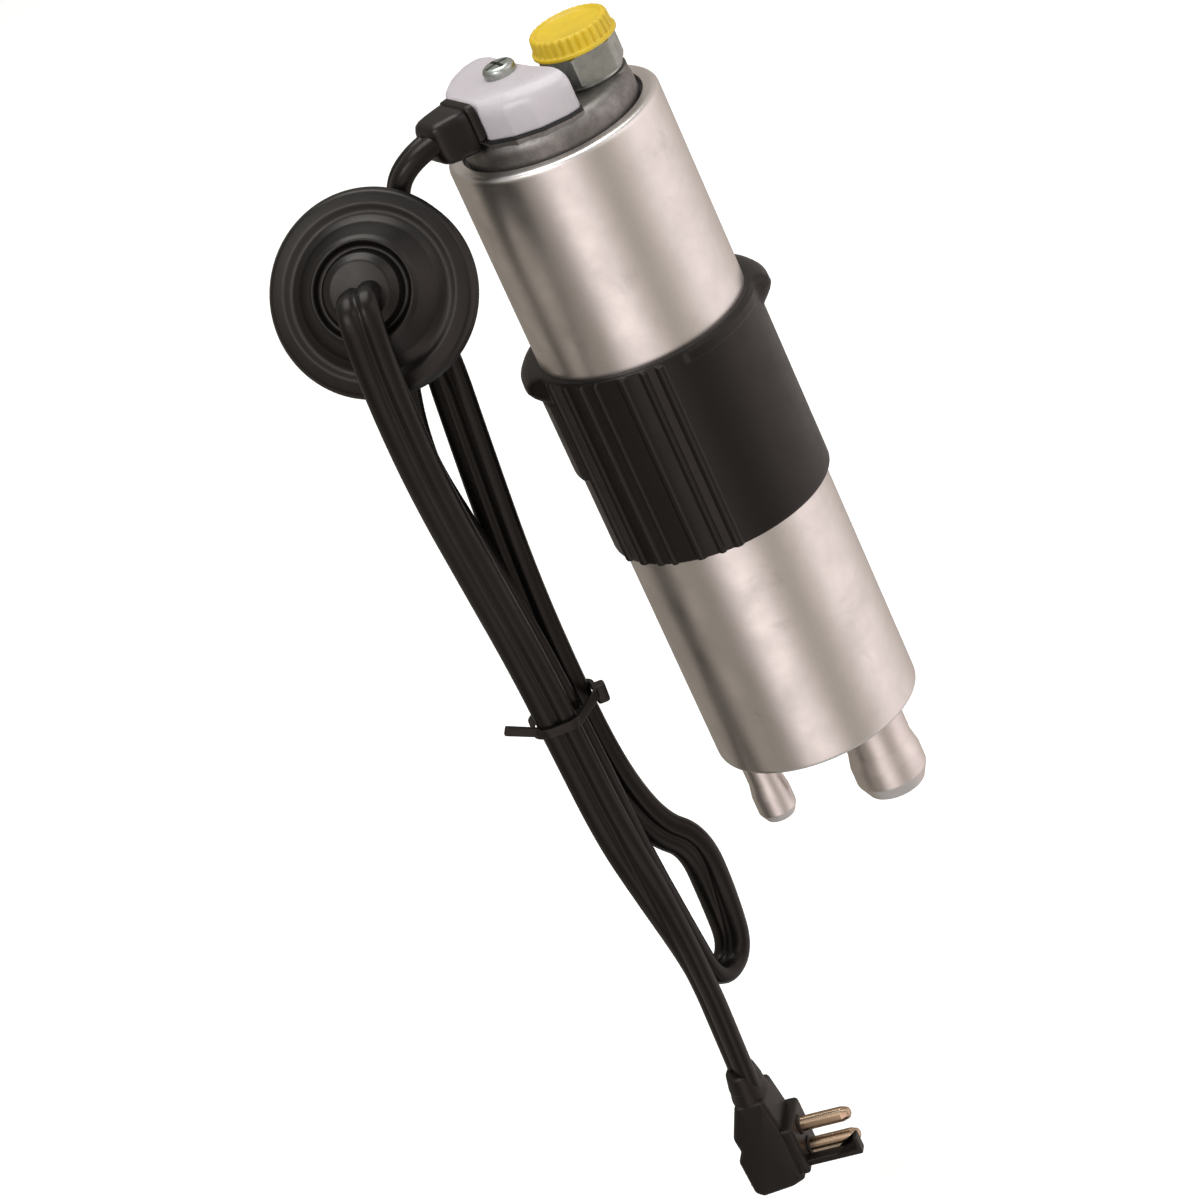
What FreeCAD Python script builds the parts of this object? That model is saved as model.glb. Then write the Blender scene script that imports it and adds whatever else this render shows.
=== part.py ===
# Inline electric fuel pump: aluminium can, rubber mounting sleeve, terminal cover and tied cable.
# Frame: millimetres, Z along the pump axis towards the outlet, origin at the centre of the sleeve.
import math
import os

import FreeCAD
import Part

V = FreeCAD.Vector
os.makedirs("parts", exist_ok=True)

# Can
CAN_R = 26.0
CAN_WALL = 1.5
CAN_BOTTOM = -88.5
CAN_TOP = 79.0
CAN_FOOT_RADIUS = 3.0
CAN_LIP_RADIUS = 3.5
BORE_R = CAN_R - CAN_WALL
FLOOR = CAN_BOTTOM + CAN_WALL
FIT = 0.1
RUN = 0.05
PACK_R = BORE_R - FIT
CAP_R = BORE_R - 3.2
CAN_LIP_R = CAP_R + 1.0

# Hose spigots at the bottom
INLET_X = BORE_R - 13.7
INLET_R = 8.3
INLET_BEAD_R = 9.1
INLET_BORE_R = 6.3
INLET_END = -116.2
RETURN_X = 6.1 - BORE_R
RETURN_R = 4.25
RETURN_BEAD_R = 4.9
RETURN_BORE_R = 2.7
RETURN_END = -110.3

# Rubber sleeve
SLEEVE_WALL = 1.8
SLEEVE_R = CAN_R + SLEEVE_WALL
SLEEVE_HALF = 25.5
SLEEVE_RIBS = ((-93.2, 2.9), (-101.8, 1.7), (-112.8, 2.9), (-127.3, 1.6), (-136.0, 1.6),
               (-147.5, 2.9), (-159.5, 1.6))
RIB_HEIGHT = 0.55
COLLAR_R = SLEEVE_R + 3.6
COLLAR_Z = (17.6, 25.2)
PAD_R = SLEEVE_R + 1.1

# Pump pack, whose sizes across follow the can's bore
ACROSS = PACK_R / 24.4
SHAFT_R = 3.0
INLET_PLATE = (FLOOR + 10.0, FLOOR + 18.0)
RING_Z = (INLET_PLATE[1], INLET_PLATE[1] + 9.0)
OUTLET_PLATE = (RING_Z[1], RING_Z[1] + 8.0)
ECCENTRIC = 1.3 * ACROSS
PIN_COUNT = 7
PIN_CIRCLE = 12.0 * ACROSS
LOBE_R = 3.2 * ACROSS
OUTER_ROTOR_R = 16.5 * ACROSS
PORT_R_IN = 7.6 * ACROSS
PORT_R_OUT = 11.6 * ACROSS
DRIVE_HALF = 5.9 * ACROSS
DRIVE_PIN_R = 1.2
STRAINER_RINGS = ((0.205, 6), (0.37, 12), (0.535, 16), (0.7, 22), (0.853, 28))
ROTOR_END_GAP = 0.04
PACK_SCREW_R = PACK_R - 3.5
PACK_SCREW_SHANK = 1.5
PACK_SCREW_HEAD = 2.75
PACK_SCREW_ANGLES = (60.0, 180.0, 300.0)

# Relief valve in the pack
RELIEF_X = PACK_R - 3.5
RELIEF_BALL_R = 2.2
RELIEF_BORE_R = RELIEF_BALL_R + 0.15
RELIEF_BALL_Z = RING_Z[1] - 0.7
RELIEF_PLUG_R = 3.0
RELIEF_PLUG_H = 2.9

# Motor
CARRIER_Z = (44.0, 47.5)
SHAFT_Z = (INLET_PLATE[1] + 1.5, CARRIER_Z[1] + 11.0)
FLUX_R_IN = PACK_R - 2.5
FLUX_Z = (OUTLET_PLATE[1], CARRIER_Z[0])
MAGNET_R_IN = FLUX_R_IN - 5.1
MAGNET_Z = (FLUX_Z[0] + 14.0, FLUX_Z[1] - 14.0)
CORE_R = MAGNET_R_IN - 0.8
CORE_Z = (MAGNET_Z[0] + 8.0, MAGNET_Z[1] - 8.0)
SLOTS = 8
SLOT_R = 0.156 * CORE_R
SLOT_AT = 0.7 * CORE_R
COIL_R = SLOT_R - 0.15
END_TURN_H = 7.5
COMM_R = SHAFT_R + 5.0
COMM_RISER_R = COMM_R + 1.6
COMM_Z = (CARRIER_Z[0] - 11.0, CARRIER_Z[0] + 1.0)
BEARING_R = SHAFT_R + 2.0
BRUSH_W = 4.5
BRUSH_H = 6.2
BRUSH_Z = CARRIER_Z[0] - 5.0
BRUSH_TRAVEL_END = FLUX_R_IN - 1.3
BRUSH_LEN = 0.635 * (BRUSH_TRAVEL_END - COMM_R)
GUIDE_WALL = 1.3
VENT_R = 2.6

# End cap and outlet
SHOULDER_Z = CAN_TOP - CAN_WALL - 2.3
CAP_TOP = CAN_TOP + 6.0
CAP_EDGE = 3.4
CAP_INNER_Z = CAP_TOP - 19.0
OUTLET_X = CAP_R - 9.2
HEX_FLATS = 17.0
HEX_TURN = 12.0
HEX_Z = (CAP_TOP + 1.0, CAP_TOP + 8.8)
SHANK_R = 6.5
VALVE_SEAT_Z = CAP_TOP - 13.5
VALVE_R = 3.6
VALVE_BORE_R = VALVE_R + 0.8
SEAT_R = 2.2
PORT_R = 5.2
PORT_FLOOR = CAP_TOP - 1.5
PLUG_HEAD_R = 10.2
PLUG_HEAD_Z = (HEX_Z[1], HEX_Z[1] + 4.9)
PLUG_STEM_R = PORT_R - 0.3

# Terminals and cover
POSTS = (("positive", -4.5, -12.2), ("negative", -12.3, 6.2))
POST_R = 2.0
INSULATOR_R = 3.2
WIRE_ENDS = {"positive": (-14.4, -8.45), "negative": (-16.0, -4.4)}
WIRE_R = 0.85
LUG_Z = CAP_TOP + 1.8
LUG_T = 0.9
WIRE_Z = LUG_Z + 1.45
NUT_FLATS = 7.0
NUT_H = 3.0
COVER_OUTLINE = ((-14.9, -13.7), (-9.6, -17.8), (-3.2, -20.0), (3.2, -20.0), (7.2, -18.6), (4.6, -13.0),
                 (1.4, -7.4), (-2.3, 1.5), (-6.6, 11.6), (-9.4, 14.6), (-13.2, 14.2), (-17.2, 10.0),
                 (-19.6, 4.4), (-20.0, -0.9))
GASKET_T = 0.8
COVER_TOP = CAP_TOP + 10.5
COVER_WALL = 1.6
DOME_BACK = 4.5
SCREW_X, SCREW_Y = -6.2, -2.6
SCREW_R = 2.0
SCREW_HEAD_R = 3.9
PILLAR_R = 3.4

# Cable boot on the cover's end face
BOOT_FACE = (-17.45, -7.3)
BOOT_DIR = (-0.929, -0.370)
BOOT_Z = CAP_TOP + 5.0

# Cable, laid from the boot to the plug
CABLE_T = 5.0
CABLE_ROUTE = (
    (-20.0, -9.2, 90.8), (-34.6, -13.2, 91.0), (-40.6, -11.4, 78.0), (-41.6, -8.3, 53.0),
    (-46.3, -5.2, 12.0), (-50.4, -3.2, -22.0), (-52.6, -3.0, -55.0), (-51.8, -2.8, -80.0),
    (-47.8, -2.0, -98.0), (-40.6, -1.0, -106.0), (-41.0, -0.2, -124.0), (-42.6, -0.6, -140.0),
    (-51.4, -9.0, -140.5), (-53.4, -9.2, -122.5), (-55.2, -8.6, -99.0), (-55.6, -8.4, -72.0),
    (-56.2, -8.6, -42.0), (-58.0, -8.0, -8.0), (-59.2, -6.6, 20.0), (-56.6, -5.4, 42.0),
    (-49.6, -9.0, 59.9), (-56.5, -38.5, 76.9), (-58.4, -46.3, 71.6), (-60.0, -45.2, 52.0),
    (-60.6, -36.0, 24.0), (-59.4, -24.0, -8.0), (-58.2, -15.4, -36.0), (-57.8, -14.2, -60.0),
    (-57.4, -14.6, -86.0), (-55.0, -14.4, -109.0), (-53.0, -14.8, -133.0), (-53.8, -14.2, -154.0),
    (-54.6, -14.0, -172.0))

# Grommet on the cable
GROMMET_C = (-53.1, -24.0, 68.6)
GROMMET_N = (-0.20, -0.85, 0.49)
GROMMET_R = 24.0

# Cable tie
TIE_Z = -55.4
TIE_H = 2.5
TIE_T = 1.1
TIE_OUTLINE = ((-61.2, -17.0), (-54.0, -17.0), (-47.3, -7.0), (-47.3, -0.4), (-57.2, -0.4), (-63.4, -9.0),
               (-63.4, -15.0))

# Plug at the end of the cable
PLUG_AT = (-54.6, -14.0)
PLUG_TURN = -20.0
PLUG_TOP = -170.0
PLUG_BOTTOM = PLUG_TOP - 28.2
PLUG_HALF = 6.4
PLUG_FACE = 8.2
PIN_R = 1.95
PIN_ROOT_R = 1.3
KEY_Y = (-6.2, -3.0)
PINS_Z = (PLUG_TOP - 13.4, PLUG_TOP - 20.3)
PIN_X = (PLUG_FACE - 2.2, PLUG_FACE + 13.65)


def save(shape, name):
    """Write one solid to its own file, with its split faces joined where that keeps it whole."""
    refined = shape.removeSplitter()
    if refined.isValid():
        shape = refined
    if len(shape.Solids) == 1:
        shape = shape.Solids[0]
    print("%-26s solids %d valid %s volume %.1f" % (name, len(shape.Solids), shape.isValid(), shape.Volume))
    shape.exportStep("parts/%s.step" % name)
    return shape


def cyl(r, z0, z1, x=0.0, y=0.0):
    return Part.makeCylinder(r, z1 - z0, V(x, y, z0))


def tube(r_out, r_in, z0, z1, x=0.0, y=0.0):
    return cyl(r_out, z0, z1, x, y).cut(cyl(r_in, z0 - 1, z1 + 1, x, y))


def rod(r, start, end):
    a, b = V(*start), V(*end)
    return Part.makeCylinder(r, (b - a).Length, a, b - a)


def slab(x0, x1, y0, y1, z0, z1):
    return Part.makeBox(x1 - x0, y1 - y0, z1 - z0, V(x0, y0, z0))


def turned(points, x=0.0, y=0.0):
    """Solid of revolution about the line through (x, y), from (radius, z) points.
    A point written as (r, z, r_mid, z_mid) is reached by an arc through the middle."""
    edges = []
    last = V(points[0][0], 0, points[0][1])
    for p in list(points[1:]) + [points[0][:2]]:
        new = V(p[0], 0, p[1])
        if (new - last).Length < 1e-6:
            continue
        if len(p) == 4:
            edges.append(Part.Arc(last, V(p[2], 0, p[3]), new).toShape())
        else:
            edges.append(Part.LineSegment(last, new).toShape())
        last = new
    face = Part.Face(Part.Wire(edges))
    solid = face.revolve(V(0, 0, 0), V(0, 0, 1), 360)
    solid.translate(V(x, y, 0))
    return solid


def prism(outline, z0, z1):
    """Extruded polygon."""
    pts = [V(px, py, z0) for px, py in outline]
    return Part.Face(Part.makePolygon(pts + pts[:1])).extrude(V(0, 0, z1 - z0))


def smooth_prism(outline, z0, z1, radius):
    """Extruded polygon with its upright edges rounded."""
    body = prism(outline, z0, z1)
    upright = [e for e in body.Edges if abs(e.Vertexes[0].Z - e.Vertexes[-1].Z) > 0.5]
    return body.makeFillet(radius, upright)


def sector(r_out, r_in, z0, z1, a0, a1):
    """Ring sector from azimuth a0 to a1 in degrees."""
    pts = [V(r_in, 0, z0), V(r_out, 0, z0), V(r_out, 0, z1), V(r_in, 0, z1), V(r_in, 0, z0)]
    body = Part.Face(Part.makePolygon(pts)).revolve(V(0, 0, 0), V(0, 0, 1), a1 - a0)
    body.rotate(V(0, 0, 0), V(0, 0, 1), a0)
    return body


def helix_spring(r, wire_r, start, end, turns, direction):
    """Coil spring of straight section pieces from start, along a direction."""
    length = end - start
    helix = Part.makeHelix((length - 2 * wire_r) / turns, length - 2 * wire_r, r)
    section = Part.Wire([Part.Circle(V(r, 0, 0), V(0, 1, 0), wire_r).toShape()])
    pipe = Part.Wire(helix.Edges).makePipeShell([section], True, True)
    pipe.translate(V(0, 0, wire_r))
    turn = FreeCAD.Rotation(V(0, 0, 1), direction)
    pipe.Placement = FreeCAD.Placement(direction * start, turn).multiply(pipe.Placement)
    return pipe


def bar_route(points, radius):
    """Round bar along straight runs joined by tangent arcs, each as large as its runs allow."""
    pts = [V(*p) for p in points]
    edges, here, radii = [], pts[0], []
    for i in range(1, len(pts) - 1):
        a = (pts[i - 1] - pts[i])
        b = (pts[i + 1] - pts[i])
        shorter = min(a.Length, b.Length)
        a.normalize()
        b.normalize()
        half = (math.pi - a.getAngle(b)) / 2
        back = 0.45 * shorter
        radii.append(back / math.tan(half))
        start, end = pts[i] + a * back, pts[i] + b * back
        middle = (a + b)
        middle.normalize()
        centre = pts[i] + middle * (radii[-1] / math.cos(half))
        mid = centre - middle * radii[-1]
        edges.append(Part.LineSegment(here, start).toShape())
        edges.append(Part.Arc(start, mid, end).toShape())
        here = end
    edges.append(Part.LineSegment(here, pts[-1]).toShape())
    length = sum(e.Length for e in edges)
    path = Part.Wire(edges)
    section = Part.Wire([Part.Circle(pts[0], pts[1] - pts[0], radius).toShape()])
    solid = path.makePipeShell([section], True, False, 1)
    if solid.Volume < 0:
        solid.reverse()
    print("route length %.1f volume ratio %.4f" % (length, solid.Volume / (length * math.pi * radius ** 2)))
    print("route radii", " ".join("%.1f" % r for r in radii))
    return solid


# Housing
def housing_can():
    k = math.sqrt(0.5)
    fr, lr = CAN_FOOT_RADIUS, CAN_LIP_RADIUS
    f_in, l_in = fr - CAN_WALL, lr - CAN_WALL
    foot_c, lip_c = (CAN_R - fr, CAN_BOTTOM + fr), (CAN_R - lr, CAN_TOP - lr)
    pts = [(0, CAN_BOTTOM), (foot_c[0], CAN_BOTTOM),
           (CAN_R, foot_c[1], foot_c[0] + fr * k, foot_c[1] - fr * k),
           (CAN_R, lip_c[1]), (lip_c[0], CAN_TOP, lip_c[0] + lr * k, lip_c[1] + lr * k),
           (CAN_LIP_R, CAN_TOP), (CAN_LIP_R, CAN_TOP - CAN_WALL), (lip_c[0], CAN_TOP - CAN_WALL),
           (BORE_R, lip_c[1], lip_c[0] + l_in * k, lip_c[1] + l_in * k),
           (BORE_R, foot_c[1]), (foot_c[0], FLOOR, foot_c[0] + f_in * k, foot_c[1] - f_in * k), (0, FLOOR)]
    can = turned(pts)
    can = can.cut(cyl(INLET_R + RUN, CAN_BOTTOM - 1, FLOOR + 1, INLET_X))
    return can.cut(cyl(RETURN_R + RUN, CAN_BOTTOM - 1, FLOOR + 1, RETURN_X))


def spigot(x, r, bead_r, bore_r, end, flange_r, rise):
    """Drawn tube with a flange on the can's floor and a bead that rounds off its end."""
    bead_low, bead_high = end + rise, end + rise + 4.5
    tip = bore_r + 0.7
    return turned([(bore_r, FLOOR + 1.2), (flange_r, FLOOR + 1.2), (flange_r, FLOOR), (r, FLOOR),
                   (r, bead_high + 3.0), (bead_r, bead_high), (bead_r, bead_low),
                   (tip, end, bead_r - 0.3 * (bead_r - tip), end + 0.3 * rise), (bore_r, end)], x)


def inlet_strainer():
    """Shallow cup with rows of holes, standing in the can under the pump pack."""
    z1 = INLET_PLATE[0]
    dish = cyl(PACK_R, FLOOR + 1.2, z1).cut(cyl(PACK_R - 0.8, FLOOR, z1 - 0.8))
    holes = []
    for share, count in STRAINER_RINGS:
        for i in range(count):
            a = 2 * math.pi * i / count
            x, y = share * PACK_R * math.cos(a), share * PACK_R * math.sin(a)
            holes.append(cyl(0.9, z1 - 2, z1 + 1, x, y))
    return dish.cut(Part.makeCompound(holes))


# Pump pack
def kidney(r_in, r_out, z0, z1, a0, a1, x):
    port = sector(r_out, r_in, z0, z1, a0, a1)
    port.translate(V(x, 0, 0))
    return port


def screw_places():
    for angle in PACK_SCREW_ANGLES:
        a = math.radians(angle)
        yield PACK_SCREW_R * math.cos(a), PACK_SCREW_R * math.sin(a)


def pump_inlet_plate():
    z0, z1 = INLET_PLATE
    plate = cyl(PACK_R, z0, z1).cut(kidney(PORT_R_IN, PORT_R_OUT, z0 - 1, z1 + 1, 20, 160, -ECCENTRIC))
    plate = plate.cut(cyl(SHAFT_R + 0.4, z1 - 2.0, z1 + 1))
    for x, y in screw_places():
        plate = plate.cut(cyl(PACK_SCREW_SHANK + RUN, z0 + 1.0, z1 + 1, x, y))
    plate = plate.cut(cyl(RELIEF_PLUG_R + RUN, z0 - 1, z0 + RELIEF_PLUG_H + 0.1, RELIEF_X))
    return plate.cut(cyl(RELIEF_BORE_R, z0 + 2.0, z1 + 1, RELIEF_X))


def pump_ring():
    z0, z1 = RING_Z
    ring = cyl(PACK_R, z0, z1).cut(cyl(OUTER_ROTOR_R + RUN, z0 - 1, z1 + 1, -ECCENTRIC))
    for x, y in screw_places():
        ring = ring.cut(cyl(PACK_SCREW_SHANK + RUN, z0 - 1, z1 + 1, x, y))
    return ring.cut(cyl(RELIEF_BORE_R, z0 - 1, z1 + 1, RELIEF_X))


def outer_rotor():
    """Ring rotor with seven round lobes, turning about the offset axis."""
    z0, z1 = RING_Z[0] + ROTOR_END_GAP, RING_Z[1] - ROTOR_END_GAP
    body = tube(OUTER_ROTOR_R, PIN_CIRCLE - 0.35 * ACROSS, z0, z1)
    for i in range(PIN_COUNT):
        a = 2 * math.pi * i / PIN_COUNT
        body = body.fuse(cyl(LOBE_R, z0, z1, PIN_CIRCLE * math.cos(a), PIN_CIRCLE * math.sin(a)))
    body.translate(V(-ECCENTRIC, 0, 0))
    return body


def inner_rotor():
    """Six lobed rotor that rolls inside the ring's seven round lobes, with a slot for the drive pin."""
    z0, z1 = RING_Z[0] + ROTOR_END_GAP, RING_Z[1] - ROTOR_END_GAP
    lobe = LOBE_R + RUN
    pts = []
    steps = 240
    for i in range(steps):
        t = 2 * math.pi * i / steps
        n = PIN_COUNT
        psi = math.atan2(math.sin((1 - n) * t), PIN_CIRCLE / (ECCENTRIC * n) - math.cos((1 - n) * t))
        pts.append(V(PIN_CIRCLE * math.cos(t) - lobe * math.cos(t + psi) - ECCENTRIC * math.cos(n * t),
                     -PIN_CIRCLE * math.sin(t) + lobe * math.sin(t + psi) + ECCENTRIC * math.sin(n * t), z0))
    curve = Part.BSplineCurve()
    curve.interpolate(pts, PeriodicFlag=True)
    rotor = Part.Face(Part.Wire([curve.toShape()])).extrude(V(0, 0, z1 - z0))
    rotor = rotor.cut(cyl(SHAFT_R + RUN, z0 - 1, z1 + 1))
    wide = DRIVE_PIN_R + RUN
    return rotor.cut(slab(-DRIVE_HALF - 0.2, DRIVE_HALF + 0.2, -wide, wide, z1 - 2 * wide - 0.15, z1 + 1))


def pump_outlet_plate():
    z0, z1 = OUTLET_PLATE
    plate = cyl(PACK_R, z0, z1).fuse(cyl(BEARING_R + 3.0, z1 - 1, z1 + 4.0))
    plate = plate.cut(kidney(PORT_R_IN, PORT_R_OUT, z0 - 1, z1 + 6, 200, 340, -ECCENTRIC))
    plate = plate.cut(cyl(BEARING_R, z0 + 1.5, z1 + 5.0)).cut(cyl(SHAFT_R + 0.4, z0 - 1, z0 + 3))
    for x, y in screw_places():
        plate = plate.cut(cyl(PACK_SCREW_SHANK + RUN, z0 - 1, z1 + 1, x, y))
        plate = plate.cut(cyl(PACK_SCREW_HEAD + 0.15, z1 - 3.2, z1 + 1, x, y))
    seat = Part.makeCone(RELIEF_BORE_R, 1.3, 1.2, V(RELIEF_X, 0, z0))
    return plate.cut(cyl(1.3, z0 - 1, z1 + 1, RELIEF_X)).cut(seat)


def pump_screws():
    screws = []
    top = OUTLET_PLATE[1]
    for x, y in screw_places():
        head = cyl(PACK_SCREW_HEAD, top - 3.2, top - 0.4, x, y).cut(cyl(1.25, top - 2.2, top, x, y))
        screws.append(head.fuse(cyl(PACK_SCREW_SHANK, INLET_PLATE[0] + 1.2, top - 3.0, x, y)))
    return Part.makeCompound(screws)


def relief_plug():
    z0 = INLET_PLATE[0]
    plug = cyl(RELIEF_PLUG_R, z0, z0 + RELIEF_PLUG_H, RELIEF_X).cut(cyl(1.0, z0 - 1, z0 + 4, RELIEF_X))
    return plug.cut(slab(RELIEF_X - 2.2, RELIEF_X + 2.2, -0.4, 0.4, z0 - 1, z0 + 1.0))


# Motor
def shaft():
    body = cyl(SHAFT_R, *SHAFT_Z)
    pin_z = RING_Z[1] - ROTOR_END_GAP - DRIVE_PIN_R - 0.15
    pin = rod(DRIVE_PIN_R, (-DRIVE_HALF, 0, pin_z), (DRIVE_HALF, 0, pin_z))
    return body.cut(pin), pin


def armature_core():
    core = tube(CORE_R, SHAFT_R, *CORE_Z)
    cuts = []
    for i in range(SLOTS):
        a = 360.0 * i / SLOTS
        groove = cyl(SLOT_R, CORE_Z[0] - 1, CORE_Z[1] + 1, SLOT_AT).fuse(
            slab(SLOT_AT, CORE_R + 1, -0.4 * SLOT_R, 0.4 * SLOT_R, CORE_Z[0] - 1, CORE_Z[1] + 1))
        groove.rotate(V(0, 0, 0), V(0, 0, 1), a)
        cuts.append(groove)
    return core.cut(Part.makeCompound(cuts))


def armature_windings():
    """End turns at both ends joined by the coils that lie in the slots."""
    z0, z1 = CORE_Z
    inner, outer, h = BEARING_R, CORE_R - 1.8, END_TURN_H
    ends = [turned([(inner, z1), (outer, z1), (outer + 0.2, z1 + 0.47 * h), (outer - 2.2, z1 + h),
                    (inner + 1, z1 + h)]),
            turned([(inner, z0), (inner + 1, z0 - h), (outer - 2.2, z0 - h), (outer + 0.2, z0 - 0.47 * h),
                    (outer, z0)])]
    body = ends[0].fuse(ends[1])
    for i in range(SLOTS):
        a = 2 * math.pi * i / SLOTS
        body = body.fuse(cyl(COIL_R, z0 - 2, z1 + 2, SLOT_AT * math.cos(a), SLOT_AT * math.sin(a)))
    return body


def commutator():
    body = tube(COMM_R, SHAFT_R, *COMM_Z).fuse(tube(COMM_RISER_R, SHAFT_R, COMM_Z[0] - 2.6, COMM_Z[0] + 1.0))
    cuts = []
    for i in range(SLOTS):
        gap = slab(0.8 * COMM_R, COMM_RISER_R + 1, -0.3, 0.3, COMM_Z[0] - 3, COMM_Z[1] + 1)
        gap.rotate(V(0, 0, 0), V(0, 0, 1), 360.0 * (i + 0.5) / SLOTS)
        cuts.append(gap)
    return body.cut(Part.makeCompound(cuts))


def brush_guide(side):
    """Channel that holds one brush and its spring, on the carrier plate."""
    outer = slab(COMM_R + 1.0, BRUSH_TRAVEL_END + 1.0, -BRUSH_W / 2 - GUIDE_WALL, BRUSH_W / 2 + GUIDE_WALL,
                 BRUSH_Z - BRUSH_H / 2 - GUIDE_WALL, CARRIER_Z[0] + 1.0)
    inner = slab(COMM_R, BRUSH_TRAVEL_END, -BRUSH_W / 2 - FIT, BRUSH_W / 2 + FIT,
                 BRUSH_Z - BRUSH_H / 2 - FIT, BRUSH_Z + BRUSH_H / 2 + FIT)
    guide = outer.cut(inner)
    guide.rotate(V(0, 0, 0), V(0, 0, 1), 90.0 if side > 0 else -90.0)
    return guide


def brush_carrier():
    plate = tube(PACK_R, COMM_R + 1.4, *CARRIER_Z)
    plate = plate.fuse(brush_guide(1)).fuse(brush_guide(-1))
    for x, y in ((0.7, 0.33), (-0.7, 0.33), (0.7, -0.33), (-0.7, -0.33)):
        plate = plate.cut(cyl(VENT_R, CARRIER_Z[0] - 1, CARRIER_Z[1] + 1, x * PACK_R, y * PACK_R))
    return plate


def brush(side):
    body = slab(COMM_R - 1.5, COMM_R + BRUSH_LEN, -BRUSH_W / 2, BRUSH_W / 2,
                BRUSH_Z - BRUSH_H / 2, BRUSH_Z + BRUSH_H / 2).cut(
                     cyl(COMM_R + RUN, BRUSH_Z - BRUSH_H, BRUSH_Z + BRUSH_H))
    body.rotate(V(0, 0, 0), V(0, 0, 1), 90.0 if side > 0 else -90.0)
    return body


def brush_spring(side):
    coil = helix_spring(1.9, 0.3, COMM_R + BRUSH_LEN, BRUSH_TRAVEL_END, 3, V(0, side, 0))
    coil.translate(V(0, 0, BRUSH_Z))
    return coil


# End cap
def cover_blank(grow, z0, z1):
    """The cover's outline as an upright prism kept inside the cap's edge."""
    cx = sum(p[0] for p in COVER_OUTLINE) / len(COVER_OUTLINE)
    cy = sum(p[1] for p in COVER_OUTLINE) / len(COVER_OUTLINE)
    pts = []
    for x, y in COVER_OUTLINE:
        d = math.hypot(x - cx, y - cy)
        pts.append((x + grow * (x - cx) / d, y + grow * (y - cy) / d))
    return smooth_prism(pts, z0, z1, 1.4)


def end_cap():
    edge, k = CAP_EDGE, math.sqrt(0.5)
    skirt = FLUX_R_IN - 0.1
    body = turned([(0, CAP_INNER_Z), (skirt, CAP_INNER_Z), (skirt, CARRIER_Z[1]), (PACK_R, CARRIER_Z[1]),
                   (PACK_R, SHOULDER_Z), (CAP_R, SHOULDER_Z), (CAP_R, CAP_TOP - edge),
                   (CAP_R - edge, CAP_TOP, CAP_R - edge * (1 - k), CAP_TOP - edge * (1 - k)), (0, CAP_TOP)])
    platform = cover_blank(0.35, SHOULDER_Z + 1, CAP_TOP).common(cyl(CAP_R, SHOULDER_Z, CAP_TOP))
    cap = body.fuse(platform).fuse(cyl(BEARING_R + 4.0, CARRIER_Z[1] + 2.5, CAP_INNER_Z + 1))
    cap = cap.fuse(cyl(CAP_R - OUTLET_X - 0.3, CAP_TOP - 4, CAP_TOP, OUTLET_X))
    cap = cap.cut(cyl(BEARING_R, CARRIER_Z[1], SHAFT_Z[1] - 0.5))
    cap = cap.cut(cyl(SHAFT_R + 0.5, CARRIER_Z[1], SHAFT_Z[1] + 1.5))
    cap = cap.cut(cyl(SHANK_R + RUN, VALVE_SEAT_Z - 3.5, CAP_TOP + 1, OUTLET_X))
    cap = cap.cut(cyl(4.0, CAP_INNER_Z - 1, VALVE_SEAT_Z - 2.5, OUTLET_X))
    for name, x, y in POSTS:
        cap = cap.cut(cyl(INSULATOR_R, CAP_INNER_Z - 1, CAP_TOP + 1, x, y))
    return cap.cut(cyl(SCREW_R + RUN, CAP_TOP - 9.0, CAP_TOP + 1, SCREW_X, SCREW_Y))


def hexagon(flats, z0, z1, x, y, turn=0.0):
    r = flats / 2 / math.cos(math.pi / 6)
    pts = []
    for i in range(6):
        a = math.radians(60 * i + turn)
        pts.append((x + r * math.cos(a), y + r * math.sin(a)))
    return prism(pts, z0, z1)


def outlet_fitting():
    foot = VALVE_SEAT_Z - 3.3
    shank = cyl(SHANK_R, foot, HEX_Z[0], OUTLET_X)
    flats = hexagon(HEX_FLATS, HEX_Z[0], HEX_Z[1], OUTLET_X, 0, HEX_TURN)
    edge, corner = HEX_FLATS / 2 + 0.4, HEX_FLATS / 2 + 1.7
    chamfer = turned([(0, HEX_Z[0]), (edge, HEX_Z[0]), (corner, HEX_Z[0] + 0.8), (corner, HEX_Z[1] - 0.8),
                      (edge, HEX_Z[1]), (0, HEX_Z[1])], OUTLET_X)
    body = shank.fuse(flats.common(chamfer))
    body = body.cut(cyl(SEAT_R, foot - 1, HEX_Z[1] + 1, OUTLET_X))
    body = body.cut(cyl(VALVE_BORE_R, VALVE_SEAT_Z + 0.9, HEX_Z[1] + 1, OUTLET_X))
    body = body.cut(Part.makeCone(SEAT_R, SEAT_R + 1.2, 1.2, V(OUTLET_X, 0, VALVE_SEAT_Z - 0.3)))
    return body.cut(cyl(PORT_R, PORT_FLOOR, HEX_Z[1] + 1, OUTLET_X))


def check_valve_poppet():
    z = VALVE_SEAT_Z
    cone = Part.makeCone(SEAT_R - 0.05, SEAT_R + 1.1, 1.15, V(OUTLET_X, 0, z - 0.25))
    body = cone.fuse(cyl(SEAT_R + 1.1, z + 0.8, z + 1.0, OUTLET_X))
    body = body.fuse(cyl(VALVE_R, z + 0.95, z + 2.4, OUTLET_X))
    return body.fuse(cyl(1.3, z + 2.2, z + 6.5, OUTLET_X))


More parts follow.
